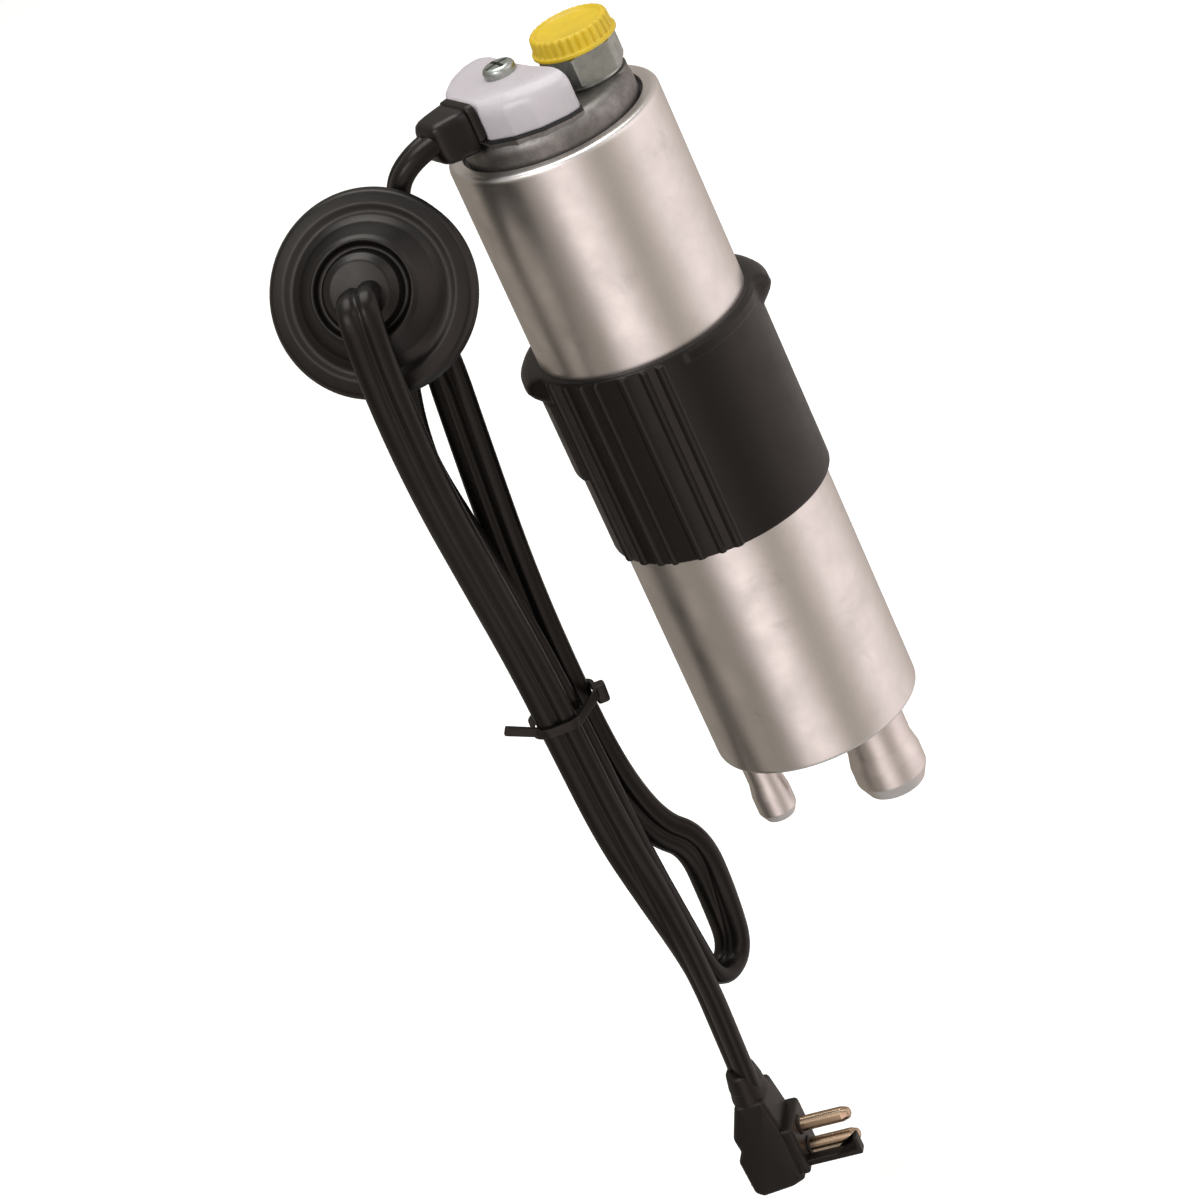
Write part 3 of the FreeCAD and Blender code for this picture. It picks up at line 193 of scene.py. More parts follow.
def finish(name, tint, dark, rough, cloud_mm, grain_mm, relief_mm, metal=0.0, stretch=(1, 1, 1),
           settings=None, patch=None):
    """Material that clouds between dark and tint over cloud_mm, with a grain of grain_mm, relief_mm high.

    rough is (low, high), read from the same clouds. stretch multiplies the grain along each axis. patch is
    a third colour, its share and its size in millimetres, for stains and wear.
    """
    have = bpy.data.materials.get(name)
    if have:
        return have
    made = bpy.data.materials.new(name)
    made.use_nodes = True
    tree = made.node_tree
    tree.nodes.clear()
    where = put(tree, "ShaderNodeTexCoord").outputs["Object"]
    clouds = put(tree, "ShaderNodeTexNoise", {"Vector": where, "Scale": 1 / (cloud_mm * MM), "Detail": 4.0,
                                              "Roughness": 0.6})
    tone = put(tree, "ShaderNodeValToRGB", {"Fac": clouds.outputs["Fac"]}, ramp=[(0.3, dark), (0.7, tint)])
    tinted = tone.outputs["Color"]
    if patch:
        worn, share, size = patch
        stains = put(tree, "ShaderNodeTexNoise", {"Vector": where, "Scale": 1 / (size * MM), "Detail": 6.0,
                                                  "Roughness": 0.65, "Distortion": 0.4})
        mask = put(tree, "ShaderNodeMapRange", {"Value": stains.outputs["Fac"],
                                                "From Min": 0.72 - 0.3 * share,
                                                "From Max": 0.9 - 0.3 * share, "To Max": 0.8})
        tinted = put(tree, "ShaderNodeMix", {0: mask.outputs["Result"], 6: tinted, 7: (*worn[:3], 1.0)},
                     data_type="RGBA").outputs[2]
    stretched = put(tree, "ShaderNodeMapping", {"Vector": where,
                                                "Scale": tuple(s / (grain_mm * MM) for s in stretch)})
    grain = put(tree, "ShaderNodeTexNoise", {"Vector": stretched.outputs["Vector"], "Scale": 1.0,
                                             "Detail": 3.0, "Roughness": 0.55})
    gloss = put(tree, "ShaderNodeMapRange", {"Value": clouds.outputs["Fac"], "From Min": 0.3, "From Max": 0.7,
                                             "To Min": rough[1], "To Max": rough[0]})
    bump = put(tree, "ShaderNodeBump", {"Height": grain.outputs["Fac"], "Distance": relief_mm * MM,
                                        "Strength": 1.0})
    shader = put(tree, "ShaderNodeBsdfPrincipled", {"Base Color": tinted,
                                                    "Roughness": gloss.outputs["Result"],
                                                    "Normal": bump.outputs["Normal"], "Metallic": metal})
    for key, value in (settings or {}).items():
        shader.inputs[key].default_value = value
    put(tree, "ShaderNodeOutputMaterial", {"Surface": shader.outputs["BSDF"]})
    return made


def paint(thing, material):
    """Gives one material to a made piece or a CAD node."""
    thing.data.materials.clear()
    thing.data.materials.append(material)


# Surfaces, as whole arrays of points in millimetres

def rounded(corners, radius, steps=6, closed=False):
    """Line through corners with each one rounded.

    A corner p between points a and b becomes the parabola (1-t)^2 a' + 2t(1-t) p + t^2 b', where a' and b'
    lie on the two sides at radius / tan(half the angle) from p, at most 0.48 of a side away.
    """
    p = np.asarray(corners, float)
    radius = np.broadcast_to(np.asarray(radius, float), len(p))
    a, b = np.roll(p, 1, 0) - p, np.roll(p, -1, 0) - p
    la, lb = np.maximum(np.linalg.norm(a, axis=1), 1e-9), np.maximum(np.linalg.norm(b, axis=1), 1e-9)
    half = 0.5 * np.arccos(np.clip((a * b).sum(1) / (la * lb), -1, 1))
    back = np.minimum(radius / np.maximum(np.tan(half), 1e-6), 0.48 * np.minimum(la, lb))
    if not closed:
        back = np.where(np.isin(np.arange(len(p)), (0, len(p) - 1)), 0.0, back)
    t = np.linspace(0, 1, steps)[None, :, None]
    start, end = p + a / la[:, None] * back[:, None], p + b / lb[:, None] * back[:, None]
    line = (1 - t) ** 2 * start[:, None] + 2 * t * (1 - t) * p[:, None] + t ** 2 * end[:, None]
    line = line.reshape(-1, p.shape[1])
    keep = np.r_[True, np.linalg.norm(np.diff(line, axis=0), axis=1) > 1e-6]
    return line[keep]


def spaced(line, count, closed=False):
    """count points at equal steps of length along a line; a closed line's last step returns to its start."""
    line = np.asarray(line, float)
    if closed:
        line = np.vstack([line, line[:1]])
    run = np.r_[0, np.cumsum(np.linalg.norm(np.diff(line, axis=0), axis=1))]
    at = np.linspace(0, run[-1], count, endpoint=not closed)
    return np.column_stack([np.interp(at, run, line[:, k]) for k in range(line.shape[1])])


def around(count):
    return np.linspace(0, TURN, count, endpoint=False)


def turned(r, z, a, x=0.0, y=0.0):
    """Points at the angles a about the upright through x, y: (x + r cos a, y + r sin a, z)."""
    return np.stack([x + r * np.cos(a), y + r * np.sin(a), z + 0 * a], axis=-1)


def lathe(profile, count=192, x=0.0, y=0.0):
    """Profile of (r, z) turned about the upright through x, y."""
    profile = np.asarray(profile, float)
    return turned(profile[:, :1], profile[:, 1:2], around(count)[None, :], x, y)


def sweep(path, across, up, section):
    """Section of (s, t) carried along a path: each point is path + s across + t up."""
    s, t = section[None, :, 0, None], section[None, :, 1, None]
    return path[:, None] + s * across[:, None] + t * up[:, None]


def stretched_rings(outline, levels):
    """Rings of an outline: a level is (inset, z), and its points move in by inset along their normals."""
    before, after = np.roll(outline, 1, 0), np.roll(outline, -1, 0)
    along = after - before
    inward = np.column_stack([-along[:, 1], along[:, 0]]) / np.linalg.norm(along, axis=1)[:, None]
    area = 0.5 * np.sum(outline[:, 0] * after[:, 1] - after[:, 0] * outline[:, 1])
    inward = inward if area > 0 else -inward
    rings = [np.column_stack([outline + inset * inward, np.full(len(outline), z)]) for inset, z in levels]
    return np.stack(rings)


def bevelled(outline, low, high, bevel, steps=5):
    """Closed block over an outline with rounded rims.

    Rings rise from the middle of the lower face to its edge, round the rim by a quarter circle of radius
    bevel (inset bevel (1 - sin q), height bevel (1 - cos q)), and back to the middle of the upper face.
    """
    q = np.linspace(0, math.pi / 2, steps)
    lower = np.column_stack([bevel * (1 - np.sin(q)), low + bevel * (1 - np.cos(q))])
    upper = np.column_stack([lower[::-1, 0], high + low - lower[::-1, 1]])
    rings = stretched_rings(outline, np.vstack([lower, upper]))
    middle = outline.mean(0)
    ends = [np.tile([*middle, z], (1, len(outline), 1)) for z in (low, high)]
    return np.concatenate([ends[0], rings, ends[1]])


def grid_faces(rows, columns, closed_rows, first=0):
    """Corner numbers and map coordinates of the quads that join a grid's neighbours; columns always close."""
    n = np.arange(rows * columns).reshape(rows, columns) + first
    if closed_rows:
        n = np.vstack([n, n[:1]])
    n = np.hstack([n, n[:, :1]])
    quads = np.stack([n[:-1, :-1], n[:-1, 1:], n[1:, 1:], n[1:, :-1]], axis=-1).reshape(-1, 4)
    v, u = np.meshgrid(np.arange(n.shape[0]) / (n.shape[0] - 1), np.arange(n.shape[1]) / columns,
                       indexing="ij")
    both = np.stack([u, v], axis=-1)
    maps = np.stack([both[:-1, :-1], both[:-1, 1:], both[1:, 1:], both[1:, :-1]], axis=-2).reshape(-1, 2)
    return quads, maps


def piece(name, grids, body="housing", stands_for=(), sharp=35.0, place=None, axes=None, more=None):
    """One closed mesh from grids of points in millimetres, riding on a CAD body.

    A grid is (points, closes in rows). Poles and seams close by merging points that fall together, then
    faces are turned outwards. axes is a 3 by 3 matrix and place an offset that set every point. more is
    loose (points, triangles), such as a flat plate with holes.
    """
    points, faces, maps, first = [], [], [], 0
    for grid, closed_rows in grids:
        rows, columns = grid.shape[:2]
        quads, uv = grid_faces(rows, columns, closed_rows, first)
        points.append(grid.reshape(-1, 3))
        faces += quads.tolist()
        maps.append(uv)
        first += rows * columns
    for plate_points, triangles in more or ():
        points.append(plate_points)
        faces += (np.asarray(triangles) + first).tolist()
        maps.append(np.zeros((3 * len(triangles), 2)))
        first += len(plate_points)
    points = np.concatenate(points)
    if axes is not None:
        points = points @ np.asarray(axes).T
    if place is not None:
        points = points + np.asarray(place)
    mesh = bpy.data.meshes.new(name)
    mesh.from_pydata((points * MM).tolist(), [], faces)
    mesh.uv_layers.new(name="UVMap").data.foreach_set("uv", np.concatenate(maps).ravel())
    work = bmesh.new()
    work.from_mesh(mesh)
    bmesh.ops.remove_doubles(work, verts=work.verts, dist=2e-6)
    bmesh.ops.recalc_face_normals(work, faces=work.faces)
    work.to_mesh(mesh)
    work.free()
    mesh.shade_smooth()
    mesh.set_sharp_from_angle(angle=math.radians(sharp))
    made = bpy.data.objects.new(name, mesh)
    bpy.context.scene.collection.objects.link(made)
    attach(made, body)
    if stands_for:
        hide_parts(*stands_for)
    return made


def smoothstep(value, low, high):
    t = np.clip((value - low) / (high - low), 0, 1)
    return t * t * (3 - 2 * t)


def wedge(angle, start, end, soft):
    """1 between two angles in degrees and 0 outside, with a ramp of soft degrees inside each end."""
    middle, half = (start + end) / 2, (end - start) / 2
    off = np.abs((angle - middle + 180) % 360 - 180)
    return 1 - smoothstep(off, half - soft, half)


def axes_from(normal):
    """3 by 3 matrix whose third column is the unit normal and whose first is level."""
    n = np.asarray(normal, float) / np.linalg.norm(normal)
    side = np.cross((0, 0, 1), n)
    side /= np.linalg.norm(side)
    return np.column_stack([side, np.cross(n, side), n])


# The can and what stands on it

def holed_plate(radius, holes, z, count):
    """Flat disc with round holes: the circles are triangulated, and what lies in a hole is left out."""
    circles = [(0.0, 0.0, radius, count)] + [(x, y, r, 64) for x, y, r in holes]
    rings = [turned(r, 0.0, around(n), x, y)[:, :2] for x, y, r, n in circles]
    flat = np.concatenate(rings)
    starts = np.cumsum([0] + [len(ring) for ring in rings])
    edges = np.concatenate([np.column_stack([np.arange(n), np.roll(np.arange(n), -1)]) + s
                            for s, n in zip(starts, [len(r) for r in rings])])
    made = delaunay_2d_cdt([Vector(p) for p in flat.tolist()], edges.tolist(), [], 0, 1e-7)
    points, triangles = np.array([tuple(p) for p in made[0]]), np.array(made[2])
    middle = points[triangles].mean(1)
    inside = np.any([np.hypot(middle[:, 0] - x, middle[:, 1] - y) < r for x, y, r in holes], axis=0)
    return np.column_stack([points, np.full(len(points), z)]), triangles[~inside]


def make_can(sizes):
    r, low, top, wall = (v / MM for v in (sizes.can_radius, sizes.can_bottom, sizes.can_top, sizes.can_wall))
    foot = 3.0
    corners = [(r - foot, low, 0), (r, low, foot), (r, top, 3.5), (r - 3.7, top, 0.25),
               (r - 3.75, top - wall, 0.25), (r - wall, top - wall, 2.0),
               (r - wall, low + wall, foot - wall), (r - foot, low + wall, 0)]
    profile = rounded([c[:2] for c in corners], [c[2] for c in corners], 10)
    shell = lathe(profile, 256)
    walls = [lathe([(rad, low), (rad, low + wall)], 64, x, y) for x, y, rad in FOOT_HOLES]
    plates = [holed_plate(r - foot, FOOT_HOLES, z, 256) for z in (low, low + wall)]
    return piece("can", [(shell, False)] + [(w, False) for w in walls], stands_for=("housing_can",),
                 more=plates)


def spigot_profile(r, bead, bore, end, rise, flange):
    """Half section of a tube: flange in the can, straight wall, bead, and a rounded lip into the bore."""
    floor = -87.0
    return rounded([(bore, floor + 1.2), (flange, floor + 1.2), (flange, floor), (r, floor),
                    (r, end + rise + 8.0), (bead, end + rise + 4.2), (bead, end + rise - 0.6),
                    (bore + 0.9, end), (bore, end + 0.9)], [0.1, 0.2, 0.2, 0.3, 3.0, 2.2, 1.9, 0.7, 0.4], 9,
                   closed=True)


def make_spigots():
    large = lathe(spigot_profile(8.3, 9.1, 6.3, -116.2, 4.6, 9.6), 160, INLET_X)
    small = lathe(spigot_profile(4.25, 4.9, 2.7, -110.3, 3.2, 5.4), 128, RETURN_X)
    return (piece("inlet_tube", [(large, True)], stands_for=("inlet_spigot",)),
            piece("return_tube", [(small, True)], stands_for=("return_spigot",)))


def make_sleeve(sizes):
    """Sleeve wall whose radius is the plain wall plus the largest of its features at each angle and height.

    The features are half round ribs with a shallow groove beside each, the collar's rounded ring round the
    back, a thin lip and a pad.
    """
    inner = sizes.can_radius / MM + 0.02
    r, h = (sizes.can_radius + sizes.sleeve_wall) / MM, sizes.sleeve_half / MM
    rise, rib = sizes.collar_height / MM, sizes.rib_height / MM
    edge = 0.8
    q = np.linspace(0, math.pi / 2, 6)[:-1]
    rim_inset, rim_z = edge * (1 - np.sin(q)), h - edge * (1 - np.cos(q))
    z_mid = np.r_[np.linspace(-h + edge, -3.9, 26), np.linspace(-3.3, -2.4, 5), np.linspace(-1.6, 16.8, 22),
                  np.linspace(17.4, 24.7, 44)]
    z = np.r_[-rim_z, z_mid, rim_z[::-1]]
    inset = np.r_[rim_inset, 0 * z_mid, rim_inset[::-1]]
    angle = np.degrees(around(720))[None, :]
    zz = z[:, None]
    collar = rise * np.interp(z, [17.6, 18.9, 20.2, 21.6, 23.2, 24.4, 25.2, 25.5],
                              [0, 0.46, 0.78, 1.0, 0.97, 0.7, 0.33, 0])[:, None]
    collar = collar * wedge(angle, -17, 197, 10)
    lip = 0.45 * (smoothstep(zz, 21.7, 22.3) - smoothstep(zz, 24.4, 24.9)) * wedge(angle, -82, -6, 4)
    pad = 1.1 * (smoothstep(zz, -3.4, -2.6) - smoothstep(zz, 17.6, 18.8)) * wedge(angle, 168, 196, 1.6)
    features = np.maximum(np.maximum(collar, lip), pad)
    for middle, width in SLEEVE_RIBS:
        off = np.radians((angle - middle + 180) % 360 - 180) * r
        round_top = rib - width / 2 + np.sqrt(np.maximum((width / 2) ** 2 - off ** 2, 0))
        ends = 1 - smoothstep(zz, 24.3, 24.9)
        bump = np.maximum(round_top, 0) * ends * (np.abs(off) < width / 2)
        groove = 0.35 * ends * np.exp(-((np.abs(off) - width / 2 - 0.25) / 0.45) ** 2)
        features = np.maximum(features, bump) - groove * (bump < 0.02) * (features < 0.05)
    a = np.radians(angle)
    rad = r - inset[:, None] + features
    back = np.linspace(h, -h, 12)[:, None]
    points = np.concatenate([turned(rad, zz, a), turned(inner + 0 * back, back, a)])
    return piece("sleeve", [(points, True)], stands_for=("rubber_sleeve",), sharp=40)


# The outlet and its transport cap

def make_fitting(sizes):
    """Hexagon with bevelled corners over a round shank, and a threaded port.

    At angle a from its first corner the hexagon's radius is (flats / 2) / cos(a mod 60 - 30). A cone trims
    its corners, and the ring where they meet is one row of the grid. The thread is a helix:
    r = port + depth * triangle(z / pitch - a / turn).
    """
    half = sizes.hex_flats / MM / 2
    x, low, high = OUTLET_X, HEX_LOW, HEX_HIGH
    six = np.minimum(half / np.cos((around(144) % (TURN / 6)) - TURN / 12), half + 1.22)
    a = around(144) + math.radians(HEX_TURN)
    edge = half + 0.35
    drop = np.maximum(0.8 * (six - edge) / 1.3, 0.02)
    ring = np.minimum(six, edge)
    rows = [(6.5, low), (ring - 0.15, low), (ring, low + 0.05), (six, low + drop + 0.05),
            (six, low + drop + 0.35), (six, high - drop - 0.35), (six, high - drop - 0.05),
            (ring, high - 0.05), (ring - 0.15, high), (6.5, high), (5.95, high), (5.25, 93.2)]
    z = np.linspace(93.1, 84.3, 84)
    turns = (z[:, None] / 1.5 - a[None, :] / TURN) % 1.0
    fade = np.minimum(smoothstep(z, 84.3, 85.4), 1 - smoothstep(z, 92.4, 93.1))[:, None]
    thread = 5.2 + 0.62 * (1 - np.abs(2 * turns - 1)) * fade
    rows += [(thread[i], z[i]) for i in range(len(z))]
    rows += [(5.2, 83.5), (4.4, 83.4), (4.4, 72.6), (3.4, 72.4), (2.2, 71.2), (2.2, 68.3), (2.4, 68.2),
             (6.3, 68.2), (6.5, 68.4)]
    points = np.stack([turned(r, z, a, x) for r, z in rows])
    return piece("outlet_hexagon", [(points, True)], stands_for=("outlet_fitting",), sharp=28)


def make_washer():
    profile = rounded([(6.55, 85.02), (8.3, 85.02), (8.3, 85.98), (6.55, 85.98)], 0.3, 5, closed=True)
    return piece("outlet_ring", [(lathe(profile, 128, OUTLET_X), True)], stands_for=("outlet_washer",))


def make_transport_cap(sizes):
    """Cap with a thin rim, a fluted wall and a dished top on a hollow stem.

    The wall's radius is its plain radius less a flute of 0.55 ((1 - cos 30 a) / 2)^3 at the angle a.
    """
    r = sizes.cap_radius / MM
    x, low, high = OUTLET_X, HEX_HIGH, CAP_HIGH
    a = around(600)
    flute = 0.55 * (0.5 - 0.5 * np.cos(30 * a)) ** 3
    rows = [(0.0, high - 0.75, 0), (r - 3.0, high - 0.7, 0), (r - 2.4, high - 0.55, 0),
            (r - 2.1, high - 0.12, 0), (r - 1.85, high, 0), (r - 1.5, high, 0.3),
            (r - 1.15, high - 0.1, 0.7), (r - 0.85, high - 0.4, 0.9), (r - 0.72, high - 0.8, 1),
            (r - 0.5, low + 1.5, 1), (r - 0.42, low + 1.15, 0.9), (r - 0.3, low + 1.0, 0.3),
            (r - 0.12, low + 0.95, 0), (r, low + 0.8, 0), (r, low + 0.15, 0), (r - 0.15, low, 0),
            (5.2, low, 0), (4.92, low - 0.2, 0), (4.9, 86.6, 0), (4.6, 85.95, 0), (3.9, 85.9, 0),
            (3.7, 86.2, 0), (3.7, 94.1, 0), (3.4, 94.4, 0), (0.0, 94.4, 0)]
    points = np.stack([turned(rad - k * flute, z, a, x) for rad, z, k in rows])
    return piece("yellow_cap", [(points, False)], body="port_cap", stands_for=("transport_cap",), sharp=50)


# Cover and boot

def make_cover():
    """Thin domed lid over a bean-shaped outline.

    A ring's point goes from the screw's centre to the outline by the share s, which starts as circles round
    the screw. Its height is top - 6.5 w (1 - sqrt(1 - ((r - 14) / 7)^2)) at a distance r over 14 from the
    pump's axis, less a quarter circle at the rim, where the weight w is 1 round the front and 0.3 at the
    boot and the back. The inside is the same surface, one wall lower and further in.
    """
    screw = np.array(COVER_SCREW)
    outline = spaced(rounded(COVER_OUTLINE, 2.6, 8, closed=True), 288, closed=True)
    spoke = outline - screw
    angle = np.arctan2(spoke[:, 1], spoke[:, 0])
    order = np.argsort(angle)
    spoke, angle = spoke[order], angle[order]
    reach_out = np.linalg.norm(spoke, axis=1)
    unit = spoke / reach_out[:, None]

    def skin(far, top, rim, shares):
        """Rows from the rim to the middle of one side of the lid."""
        rows = []
        q = np.linspace(0, math.pi / 2, 8)
        for inset, fall in zip(rim * (1 - np.cos(q)), rim * (1 - np.sin(q))):
            rows.append((far - inset, fall))
        for share in shares:
            blend = smoothstep(np.array(share), 0.25, 0.9)
            rows.append((blend * (far - rim) * share + (1 - blend) * share * 9.0, 0.0))
        points = []
        for away, fall in rows:
            flat = screw + unit * np.broadcast_to(away, far.shape)[:, None]
            r = np.hypot(flat[:, 0], flat[:, 1])
            front = 0.3 + 0.7 * wedge(np.degrees(np.arctan2(flat[:, 1], flat[:, 0])), -152, -8, 32)
            dome = 6.5 * front * (1 - np.sqrt(np.maximum(1 - np.clip((r - 14) / 7.0, 0, 0.995) ** 2, 0)))
            points.append(np.column_stack([flat, top - dome - fall]))
        return np.stack(points)

    shares = np.r_[np.linspace(0.97, 0.6, 10), np.linspace(0.56, 0.4, 10), 0.3, 0.15, 0.0]
    outside = skin(reach_out, COVER_HIGH, 1.3, shares)
    inside = skin(reach_out - 1.6, COVER_HIGH - 1.6, 0.8, np.linspace(0.9, 0.0, 6))[::-1]
    foot_out, foot_in = outside[:1].copy(), inside[-1:].copy()
    foot_out[..., 2] = foot_in[..., 2] = COVER_LOW
    wall = [foot_out * (1 - k) + outside[:1] * k for k in (0.1, 0.9)]
    skirt = foot_out.copy()
    skirt[..., :2] = screw + unit * (reach_out - 0.25)[:, None]
    points = np.concatenate([skirt, *wall, outside, inside, foot_in])
    return piece("lid", [(points, True)], stands_for=("terminal_cover",), sharp=42)


def box_ring(w, h, corner, count=64):
    """Rounded rectangle of (s, t) points, evenly spaced, starting in the same place for every size."""
    s, t = w / 2, h / 2
    return spaced(rounded([(s, 0), (s, t), (-s, t), (-s, -t), (s, -t)], [0, corner, corner, corner, corner],
                          7, closed=True), count, closed=True)


def make_boot():
    """Rubber boot: rounded rectangles of a given width and height carried along its straight axis."""
    at, along = np.array(BOOT_ROOT), np.array(BOOT_AXIS)
    side = np.array([-along[1], along[0], 0.0])
    # distance along, width, height, drop, corner
    steps = np.array([(-1.9, 9.6, 5.6, 0, 1.2), (-1.8, 10.4, 6.4, 0, 1.2), (0.05, 10.4, 6.4, 0.0, 1.2),
                      (0.1, 13.0, 8.8, 0.75, 1.8), (0.35, 13.8, 9.4, 0.75, 2.0),
                      (1.9, 13.6, 9.3, 0.75, 2.0), (2.25, 13.0, 8.8, 0.7, 2.0),
                      (2.4, 12.4, 10.4, -0.25, 2.2), (2.8, 13.0, 11.0, -0.3, 2.4),
                      (5.0, 12.3, 10.9, -0.2, 2.5), (7.5, 11.5, 10.8, -0.1, 2.7),
                      (9.5, 10.8, 10.3, 0.0, 2.8), (10.6, 10.0, 9.4, 0.1, 2.8), (11.3, 8.6, 8.0, 0.1, 2.8),
                      (11.6, 6.4, 6.0, 0.0, 2.4)])
    rows = []
    for d, w, h, drop, corner in steps:
        ring = box_ring(w, h, corner)
        rows.append(at + along * d + ring[:, :1] * side + (ring[:, 1:] + drop) * np.array([0, 0, 1.0]))
    ends = [np.tile(row.mean(0), (len(row), 1)) for row in (rows[0], rows[-1])]
    return piece("boot", [(np.stack([ends[0], *rows, ends[1]]), False)], stands_for=("cable_boot",), sharp=50)


# The cable and what is on it

def cable_line():
    """Points of the route's NURBS spline, in millimetres, as Blender gives them for a curve with no bevel."""
    data = bpy.data.curves.new("cable_route", "CURVE")
    data.dimensions = "3D"
    data.resolution_u = 24
    spline = data.splines.new("NURBS")
    spline.points.add(len(CABLE_ROUTE) - 1)
    weighted = np.column_stack([np.array(CABLE_ROUTE) * MM, np.ones(len(CABLE_ROUTE))])
    spline.points.foreach_set("co", weighted.ravel())
    spline.order_u = 3
    spline.use_endpoint_u = True
    holder = bpy.data.objects.new("cable_route", data)
    bpy.context.scene.collection.objects.link(holder)
    bpy.context.view_layer.update()
    traced = bpy.data.meshes.new_from_object(holder.evaluated_get(bpy.context.evaluated_depsgraph_get()))
    points = np.empty(len(traced.vertices) * 3)
    traced.vertices.foreach_get("co", points)
    bpy.data.meshes.remove(traced)
    bpy.data.objects.remove(holder)
    bpy.data.curves.remove(data)
    return points.reshape(-1, 3) / MM


def run_of(line):
    return np.r_[0, np.cumsum(np.linalg.norm(np.diff(line, axis=0), axis=1))]


def cable_frame(line, count):
    """Evenly spaced points of the cable with the direction of its width and of its thickness at each.

    The width's direction goes evenly from one named direction to the next, less its part along the cable.
    """
    run = run_of(line)
    spans = len(CABLE_ROUTE) - 2
    number = np.array([k[0] for k in CABLE_WIDTH])
    share = np.clip((number - 0.5) / spans, 0, 1)
    share[number == len(CABLE_ROUTE) - 1] = 1.0
    key_run = np.interp(share * (len(line) - 1), np.arange(len(line)), run)
    path = spaced(line, count)
    at = run_of(path)
    tangent = np.gradient(path, axis=0)
    tangent /= np.linalg.norm(tangent, axis=1)[:, None]
    across = np.column_stack([np.interp(at, key_run, [k[i] for k in CABLE_WIDTH]) for i in (1, 2, 3)])
    across -= (across * tangent).sum(1)[:, None] * tangent
    across /= np.linalg.norm(across, axis=1)[:, None]
    return path, across, np.cross(tangent, across)


def twin_section(width, thickness, count=48):
    """Flat twin outline: a stadium, with a groove along the middle of each flat side."""
    lobe = thickness / 2
    q = np.linspace(0, TURN, 721)[:-1]
    s = (width / 2 - lobe) * np.tanh(2.4 * np.cos(q)) / math.tanh(2.4) + lobe * np.cos(q)
    t = lobe * np.sin(q) * (1 - 0.30 * np.exp(-(s / 0.85) ** 2))
    return spaced(np.column_stack([s, t]), count, closed=True)


def make_cable(sizes):
    width, thickness = sizes.cable_width / MM, sizes.cable_thickness / MM
    line = cable_line()
    path, across, up = cable_frame(line, CABLE_STEPS)
    tube = sweep(path, across, up, twin_section(width, thickness))
    ends = [np.tile(p, (1, tube.shape[1], 1)) for p in (path[0], path[-1])]
    made = piece("twin_cable", [(np.concatenate([ends[0], tube, ends[1]]), False)], stands_for=("cable",),
                 sharp=60)
    return made


def make_grommet(sizes):
    """Round grommet: two flanges with a groove between, a cone and a ringed boss, turned to its own axis."""
    r = sizes.grommet_radius / MM
    corners = [(0, -6.5, 0), (7.0, -6.5, 0.6), (7.6, 1.5, 1.2), (8.6, 3.4, 1.0), (11.2, 2.6, 1.2),
               (14.6, -2.0, 1.0), (15.6, -6.6, 0.5), (17.8, -6.0, 0.5), (r - 1.5, -5.0, 0.8),
               (r - 0.6, -4.0, 0.6), (r - 1.0, -2.6, 0.5), (r - 4.0, -2.4, 0.4), (r - 4.0, 0.2, 0.4),
               (r - 0.6, 0.4, 0.5), (r, 1.6, 1.0), (r - 1.0, 3.3, 1.4), (20.0, 4.0, 1.8), (18.0, 3.4, 2.4),
               (16.0, 4.7, 2.4), (12.8, 9.4, 1.8), (11.4, 10.6, 0.9), (10.5, 8.9, 0.9), (9.5, 8.8, 0.8),
               (8.7, 11.2, 0.9), (7.0, 12.7, 1.5), (0, 13.4, 0)]
    profile = rounded([c[:2] for c in corners], [c[2] for c in corners], 7)
    return piece("seal_grommet", [(lathe(profile, 200), False)], stands_for=("grommet",), sharp=45,
                 axes=axes_from(GROMMET_NORMAL), place=GROMMET_CENTRE)


def turn_y(degrees):
    c, s = math.cos(math.radians(degrees)), math.sin(math.radians(degrees))
    return np.array([[c, 0, s], [0, 1, 0], [-s, 0, c]])


def turn_z(degrees):
    c, s = math.cos(math.radians(degrees)), math.sin(math.radians(degrees))
    return np.array([[c, -s, 0], [s, c, 0], [0, 0, 1]])


def make_tie():
    """Strap: a flat rounded section carried round the three lays, with its head and the cut tail."""
    tall, thick, base = 2.5, 1.1, -55.4
    pivot = np.array([*np.mean(TIE_OUTLINE, axis=0), base])
    loop = spaced(rounded(TIE_OUTLINE, 2.6, 8, closed=True), 200, closed=True)
    levels = rounded([(0, 0), (0, tall), (-thick, tall), (-thick, 0)], 0.25, 4, closed=True)
    strap = stretched_rings(loop, levels)
    head = bevelled(spaced(rounded([(-47.2, -6.7), (-44.0, -6.7), (-44.0, -2.9), (-47.2, -2.9)], 1.0, 5,
                                   closed=True), 64, closed=True), -2.3, 2.5, 0.7)
    tail_line = spaced(rounded([(-9.0, 0.1), (0, 0.1), (0, tall - 0.1), (-9.0, tall)], 0.35, 4, closed=True),
                       64, closed=True)
    tail = bevelled(tail_line, -0.6, 0.5, 0.2)[..., [0, 2, 1]] @ turn_y(26).T + np.array([-63.0, -15.6, 0.2])
    tilt = turn_y(4)
    parts = [(g + np.array([0, 0, base]) - pivot) @ tilt.T + pivot for g in (strap, head, tail)]
    return piece("strap", [(parts[0], True), (parts[1], False), (parts[2], False)],
                 stands_for=("cable_tie",), sharp=45)


def side_block(profile, radius, half, bevel, count=160, y=0.0):
    """Block whose (x, z) side view is a rounded outline, with rounded rims at y - half and y + half."""
    outline = spaced(rounded(profile, radius, 6, closed=True), count, closed=True)
    return bevelled(outline, y - half, y + half, bevel)[..., [0, 2, 1]]


